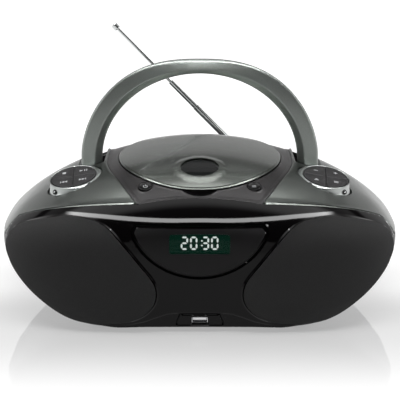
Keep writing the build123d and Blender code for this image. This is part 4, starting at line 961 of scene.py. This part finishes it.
def marks_on(node_name, loops, low, high, axes):
    """A key's printed sign, from its outlines."""
    bm = bmesh.new()
    for loop in loops:
        mark = prism("mark", loop, low, high, axes)
        bm.from_mesh(mark.data)
        bpy.data.objects.remove(mark)
    ob = link(f"{node_name}_mark", bpy.data.meshes.new(f"{node_name}_mark"))
    bm.to_mesh(ob.data)
    bm.free()
    place(ob, node_name, PRINT, replace=False)


KEY_NAMES = ("rear_right", "rear_left", "front_left", "front_right")
QUARTER_TURNS = ((1, 0), (0, 1), (-1, 0), (0, -1))
KEY_GAP, KEY_LOW, KEY_HIGH, KEY_EASE, MARK_R = 0.14, -2.6, 1.4, 0.35, 8.6
tri_r = [(-1.3, -1.6), (1.5, 0), (-1.3, 1.6)]
tri_l = [(1.3, -1.6), (-1.5, 0), (1.3, 1.6)]
bar = lambda x, w, h: [(x - w / 2, -h / 2), (x + w / 2, -h / 2), (x + w / 2, h / 2), (x - w / 2, h / 2)]
shift = lambda pts, dx, dy: [(x + dx, y + dy) for x, y in pts]
ICONS = {
    ("left", 0): [shift(tri_r, -2.2, 0), bar(0.9, 0.8, 3.2), bar(2.7, 0.8, 3.2)],
    ("left", 1): [bar(0, 3.0, 3.0)],
    ("left", 2): [bar(-2.4, 0.7, 3.2), shift(tri_l, -0.4, 0), shift(tri_l, 2.2, 0)],
    ("left", 3): [shift(tri_r, -2.2, 0), shift(tri_r, 0.4, 0), bar(2.4, 0.7, 3.2)],
    ("right", 0): [bar(0, 3.6, 0.8), bar(0, 0.8, 3.6)],
    ("right", 1): [bar(0, 3.6, 0.8)],
    ("right", 2): [[(-1.9, -0.8), (1.9, -0.8), (0, 1.7)], shift(bar(0, 3.8, 0.7), 0, -1.7)],
    ("right", 3): [shift(bar(0, 3.8, 0.7), 0, 1.2), bar(0, 3.8, 0.7), shift(bar(0, 3.8, 0.7), 0, -1.2)],
}
# radius, height and shift of each circle of the seat, up to the lip that its flare starts from
SEAT_ROWS = [(20.05, -3.4, 0), (20.05, 0.3, 0), (20.2, 0.75, 0), (20.6, 1.0, 0), (21.1, 1.0, 0),
             (21.7, 0.7, 0.6), (22.3, 0.1, 1.6)]
SEAT_SAG = 1.6 * 0.9
NUB_SPOTS = ((93.8, -53.6, 111.4), (124.2, -50.0, 104.2))
NUB_CUP = [(0, -1.4), (2.2, -1.4), (2.2, 0.5), (1.9, 0.8), (1.3, 0.8), (1.1, 0.3), (0, 0.3)]
NUB_TIP = [(0, 0.1), (0.9, 0.1), (0.85, 0.8), (0.5, 1.05), (0, 1.1)]


def seat_mesh(name, side):
    """The flared metal ring round a key pad, cut off behind."""
    o, ax, ay, nz = pad_axes(side)
    foot, depth = seat_foot(side)
    rows = [o + nz * h + ax * (circle[:, :1] - side * sh) + ay * circle[:, 1:] for r, h, sh in SEAT_ROWS
            for circle in [ring(0, 0, r, len(foot))]]
    lip = rows[-1]
    for k in np.linspace(0.12, 1.0, 12):
        sag = SEAT_SAG * math.sin(math.pi * k) * np.clip(depth / 12, 0, 1)
        rows.append(lip * (1 - k) + foot * k - nz * sag[:, None])
    rows += [foot - np.array([0, 0, 1.2]), lip * 0.5 + foot * 0.5 - nz * 4.5]
    verts = np.vstack(rows)
    verts[:, 1] = np.minimum(verts[:, 1], SEAT_BACK)
    return finish_mesh(add_mesh(name, verts, skin(len(rows), len(foot), wrap=True)), 50, weld=True)


def unit(v):
    return v / np.linalg.norm(v)


for side, tag in ((-1, "left"), (1, "right")):
    axes = o, ax, ay, nz = pad_axes(side)
    place(seat_mesh(f"pad_ring_{tag}", side), f"pad_seat_{tag}", SEAT)
    for number, spot in enumerate(NUB_SPOTS, 1):
        nub_node = f"pad_seat_{tag}"
        at = np.array([side * spot[0], spot[1], spot[2]])
        facing = unit(unit(at - o - nz * ((at - o) @ nz)) * 0.8 + nz * 0.6)
        along = unit(np.cross(facing, nz))
        nub = at, along, np.cross(facing, along), facing
        place(lathe(f"pad_nub_{tag}_{number}", NUB_CUP, nub, 32), nub_node, RUBBER, replace=False)
        place(lathe(f"pad_nub_tip_{tag}_{number}", NUB_TIP, nub, 24), nub_node, CHROME, replace=False)
    for q, (key_name, (c, s)) in enumerate(zip(KEY_NAMES, QUARTER_TURNS)):
        key = f"key_{tag}_{key_name}"
        a = np.linspace(math.asin(KEY_GAP / PAD_R), math.acos(KEY_GAP / PAD_R), 22)
        quarter = np.vstack([[(KEY_GAP, KEY_GAP)], np.stack([PAD_R * np.cos(a), PAD_R * np.sin(a)], -1)])
        loop = resample(quarter @ np.array([(c, s), (-s, c)]), 1.0)
        place(prism(f"{key}_cap", loop, KEY_LOW, KEY_HIGH, axes, KEY_EASE), key, PAD)
        spot = np.array([c - s, s + c]) * MARK_R
        marks_on(key, [shift(m, *spot) for m in ICONS[(tag, q)]], KEY_HIGH - 0.1, KEY_HIGH + 0.1, axes)

# ---- round keys -----------------------------------------------------------------------
ROUND_TILT = math.radians(24.0)
ROUND_PROFILE = [(0, -3.6), (5.85, -3.6), (5.85, 0.55), (5.7, 0.9), (5.35, 1.1), (4.9, 1.12), (4.55, 0.92),
                 (4.2, 0.72), (2.0, 0.62), (0, 0.6)]
sweep = np.linspace(math.radians(125), math.radians(415), 30)
arc = np.stack([np.cos(sweep), np.sin(sweep)], -1)
ROUND_MARKS = {"power_button": [np.vstack([1.9 * arc, 1.45 * arc[::-1]]), shift(bar(0, 0.45, 2.0), 0, 1.4)],
               "source_button": [shift(bar(0, 3.4, 0.5), 0, dy) for dy in (0.7, -0.7)]}
for side, name in ((-1, "power_button"), (1, "source_button")):
    x, y = side * ROUND_KEY[0], ROUND_KEY[1]
    nz = np.array([0, -math.sin(ROUND_TILT), math.cos(ROUND_TILT)])
    ax = np.array([1.0, 0, 0])
    axes = np.array([x, y, float(top_z(np.array([x]), np.array([y]))[0])]), ax, np.cross(nz, ax), nz
    place(lathe(f"{name}_cap", ROUND_PROFILE, axes, 64), name, GLOSS)
    marks_on(name, ROUND_MARKS[name], 0.5, 0.78, axes)

# ---- finishes of the CAD nodes that stay ------------------------------------------------
FINISH = {
    "rear_cabinet": CABINET, "front_panel": GLOSS, "top_cover": WING, "centre_deck": DECK, "grille": GRILLE,
    "display_bezel": GLOSS, "display_window": WINDOW, "lcd_module": PANEL_GREEN, "display_board": PCB,
    "usb_panel": GLOSS, "usb_socket": STEEL, "usb_board": PCB, "speaker_basket": STEEL, "speaker_cone": PAPER,
    "speaker_magnet": FERRITE, "pad_seat": SEAT, "key_": PAD, "power_button": GLOSS, "source_button": GLOSS,
    "cd_lid": LID, "lid_window": DISC_WINDOW, "lid_hinge_pins": STEEL, "drive_plate": STEEL,
    "drive_grommets": RUBBER, "slide_rails": STEEL, "spindle_motor": STEEL, "turntable": RUBBER,
    "laser_sled": CABINET, "laser_lens": BLUE, "sled_motor": STEEL, "lead_screw": CHROME, "main_board": PCB,
    "transformer": FERRITE, "mains_inlet": CABINET, "battery_door": CABINET, "battery_contacts": STEEL,
    "feet": RUBBER, "cabinet_screws": STEEL, "handle": HANDLE, "handle_pins": RUBBER, "antenna": CHROME,
}
for name, ob in frame["nodes"].items():
    key = max((k for k in FINISH if name.startswith(k)), key=len, default=None)
    paint(ob, FINISH[key] if key else CABINET)

# ---- floor and lamps ----------------------------------------------------------------------
FLOOR_HALF, FLOOR_GREY = 6.0, 0.42
bm = bmesh.new()
bmesh.ops.create_grid(bm, x_segments=8, y_segments=8, size=FLOOR_HALF)
floor = link("floor", bpy.data.meshes.new("floor"))
bm.to_mesh(floor.data)
bm.free()


def area(name, at, to, size, watts):
    data = bpy.data.lights.new(name, "AREA")
    data.shape, data.energy = "RECTANGLE", watts
    data.size, data.size_y = size
    ob = link(name, data)
    ob.visible_camera = False
    ob.location = at
    ob.rotation_euler = (Vector(to) - Vector(at)).to_track_quat("-Z", "Y").to_euler()
    return ob


area("overhead", (0, -0.25, 1.15), (0, -0.05, 0.1), (1.3, 0.5), 12).visible_glossy = False
area("side_left", (-1.3, -0.1, 0.55), (0, 0, 0.1), (0.5, 0.9), 4)
area("side_right", (1.3, -0.1, 0.55), (0, 0, 0.1), (0.5, 0.9), 4)


class Graph:
    """A fresh node tree with its light path and the X, Y and Z of a vector."""

    def __init__(self, owner, vector_node, vector_output):
        owner.use_nodes = True
        self.nt = owner.node_tree
        self.nt.nodes.clear()
        self.path = node(self.nt, "LightPath").outputs
        vector = node(self.nt, vector_node).outputs[vector_output]
        self.x, self.y, self.z = node(self.nt, "SeparateXYZ", {0: vector}).outputs

    def calc(self, op, *values):
        return node(self.nt, "Math", dict(enumerate(values)), operation=op).outputs[0]

    def smooth(self, value, a, b, low, high):
        """low where the value is a, high where it is b, and an even turn between."""
        return node(self.nt, "MapRange", {"Value": value, "From Min": a, "From Max": b, "To Min": low,
                                          "To Max": high}, interpolation_type="SMOOTHSTEP").outputs["Result"]

    def shader(self, kind, inputs):
        return node(self.nt, kind, inputs).outputs[0]

    def background_rays(self):
        """1 for the rays that see the background: camera, glossy and transmission."""
        seen = self.calc("MAXIMUM", self.path["Is Camera Ray"], self.path["Is Transmission Ray"])
        return self.calc("MAXIMUM", seen, self.path["Is Glossy Ray"])

    def profile(self, height, stops):
        """Brightness of one half of the studio, by the height of the direction."""
        ramp = node(self.nt, "ValToRGB", {"Fac": height})
        elements = ramp.color_ramp.elements
        while len(elements) < len(stops):
            elements.new(0.5)
        for e, (at, v) in zip(elements, stops):
            e.position, e.color = at, (v, v, v, 1)
        return ramp.outputs["Color"]


# floor: a pale background to camera, glossy and transmission rays, a mid grey to the light that lands on the
# object; in front of the object, the camera also sees it polished
floor_material = bpy.data.materials.new("studio_floor")
g = Graph(floor_material, "NewGeometry", "Position")
aside = g.calc("ABSOLUTE", g.x)
ahead = g.smooth(g.y, -0.62, -0.30, -0.44, 0.0)
away = g.smooth(g.calc("ABSOLUTE", g.y), 0.10, 1.3, 0.66, 1.05)
away = g.calc("ADD", g.smooth(aside, 0.3, 2.0, 0.0, 0.2), away)
white = g.shader("Emission", {"Color": (1, 1, 1, 1), "Strength": g.calc("ADD", ahead, away)})
lit = g.shader("BsdfDiffuse", {"Color": (FLOOR_GREY, FLOOR_GREY, FLOOR_GREY, 1)})
shine = g.calc("MULTIPLY", g.smooth(g.y, -0.30, -0.118, 0.0, 0.44), g.smooth(g.y, -0.06, 0.02, 1.0, 0.0))
shine = g.calc("MULTIPLY", shine, g.path["Is Camera Ray"])
shine = g.calc("MULTIPLY", shine, g.smooth(aside, 0.19, 0.27, 1.0, 0.0))
mirror_bsdf = g.shader("BsdfGlossy", {"Color": (1, 1, 1, 1), "Roughness": 0.03})
polished = g.shader("MixShader", {0: shine, 1: g.shader("AddShader", {0: white, 1: lit}), 2: mirror_bsdf})
final = g.shader("MixShader", {0: g.background_rays(), 1: lit, 2: polished})
node(g.nt, "OutputMaterial", {0: final})
paint(floor, floor_material)

# ---- world: a graded room for every ray, and softboxes for the background rays --------------
BACK_WALL = [(0.0, 1.0), (0.04, 1.0), (0.08, 0.58), (0.42, 0.60), (0.47, 0.05), (0.53, 0.05), (0.58, 0.48),
             (0.90, 0.42), (1.0, 0.34)]
FRONT_WALL = [(0.0, 1.0), (0.10, 1.0), (0.16, 0.07), (0.50, 0.07), (0.75, 0.08), (0.93, 0.20), (1.0, 0.34)]
world = scene.world = bpy.data.worlds.new("studio")
g = Graph(world, "TexCoord", "Generated")
behind = g.smooth(g.y, -0.12, 0.12, 0.0, 1.0)
room = g.calc("ADD", g.calc("MULTIPLY", g.profile(g.z, FRONT_WALL), g.calc("SUBTRACT", 1.0, behind)),
              g.calc("MULTIPLY", g.profile(g.z, BACK_WALL), behind))

# softboxes, placed where a direction meets a level ceiling: across is X/Z without sign, along is Y/Z
height = g.calc("MAXIMUM", g.z, 0.02)
across = g.calc("DIVIDE", g.calc("ABSOLUTE", g.x), height)
along = g.calc("DIVIDE", g.y, height)


def strip(line, half_width, soft, start, end, fade, strength):
    """A lit strip along a line of the ceiling, between two places across."""
    edge = g.calc("SUBTRACT", g.calc("ABSOLUTE", g.calc("SUBTRACT", along, line)), half_width)
    lit = g.smooth(edge, -soft, soft, strength, 0.0)
    lit = g.calc("MULTIPLY", lit, g.smooth(across, end - fade, end, 1.0, 0.0))
    return g.calc("MULTIPLY", lit, g.smooth(across, start, start + fade, 0.0, 1.0)) if start > 0 else lit


bend = g.calc("SQRT", g.calc("ADD", 0.01, g.calc("MULTIPLY", 6.5, g.calc("POWER", across, 2.0))))
front_half = g.calc("SUBTRACT", 0.145, g.calc("MULTIPLY", across, 0.135))
front_strip = strip(g.calc("SUBTRACT", bend, 1.056), front_half, soft=0.014, start=0.0, end=0.66, fade=0.12,
                    strength=34.0)
top_strip = strip(0.17, 0.36, soft=0.16, start=0.0, end=1.2, fade=0.5, strength=3.0)
side_slant = g.calc("SUBTRACT", g.calc("MULTIPLY", across, 1.58), 0.50)
side_half = g.calc("ADD", 0.01, g.calc("MULTIPLY", across, 0.085))
side_strip = strip(side_slant, side_half, soft=0.04, start=0.66, end=3.4, fade=0.5, strength=3.2)
boxes = g.calc("ADD", g.calc("ADD", front_strip, side_strip), top_strip)
boxes = g.calc("MULTIPLY", boxes, g.background_rays())
node(g.nt, "OutputWorld", {0: g.shader("Background", {"Strength": g.calc("ADD", room, boxes)})})

scene.view_settings.view_transform = "Standard"
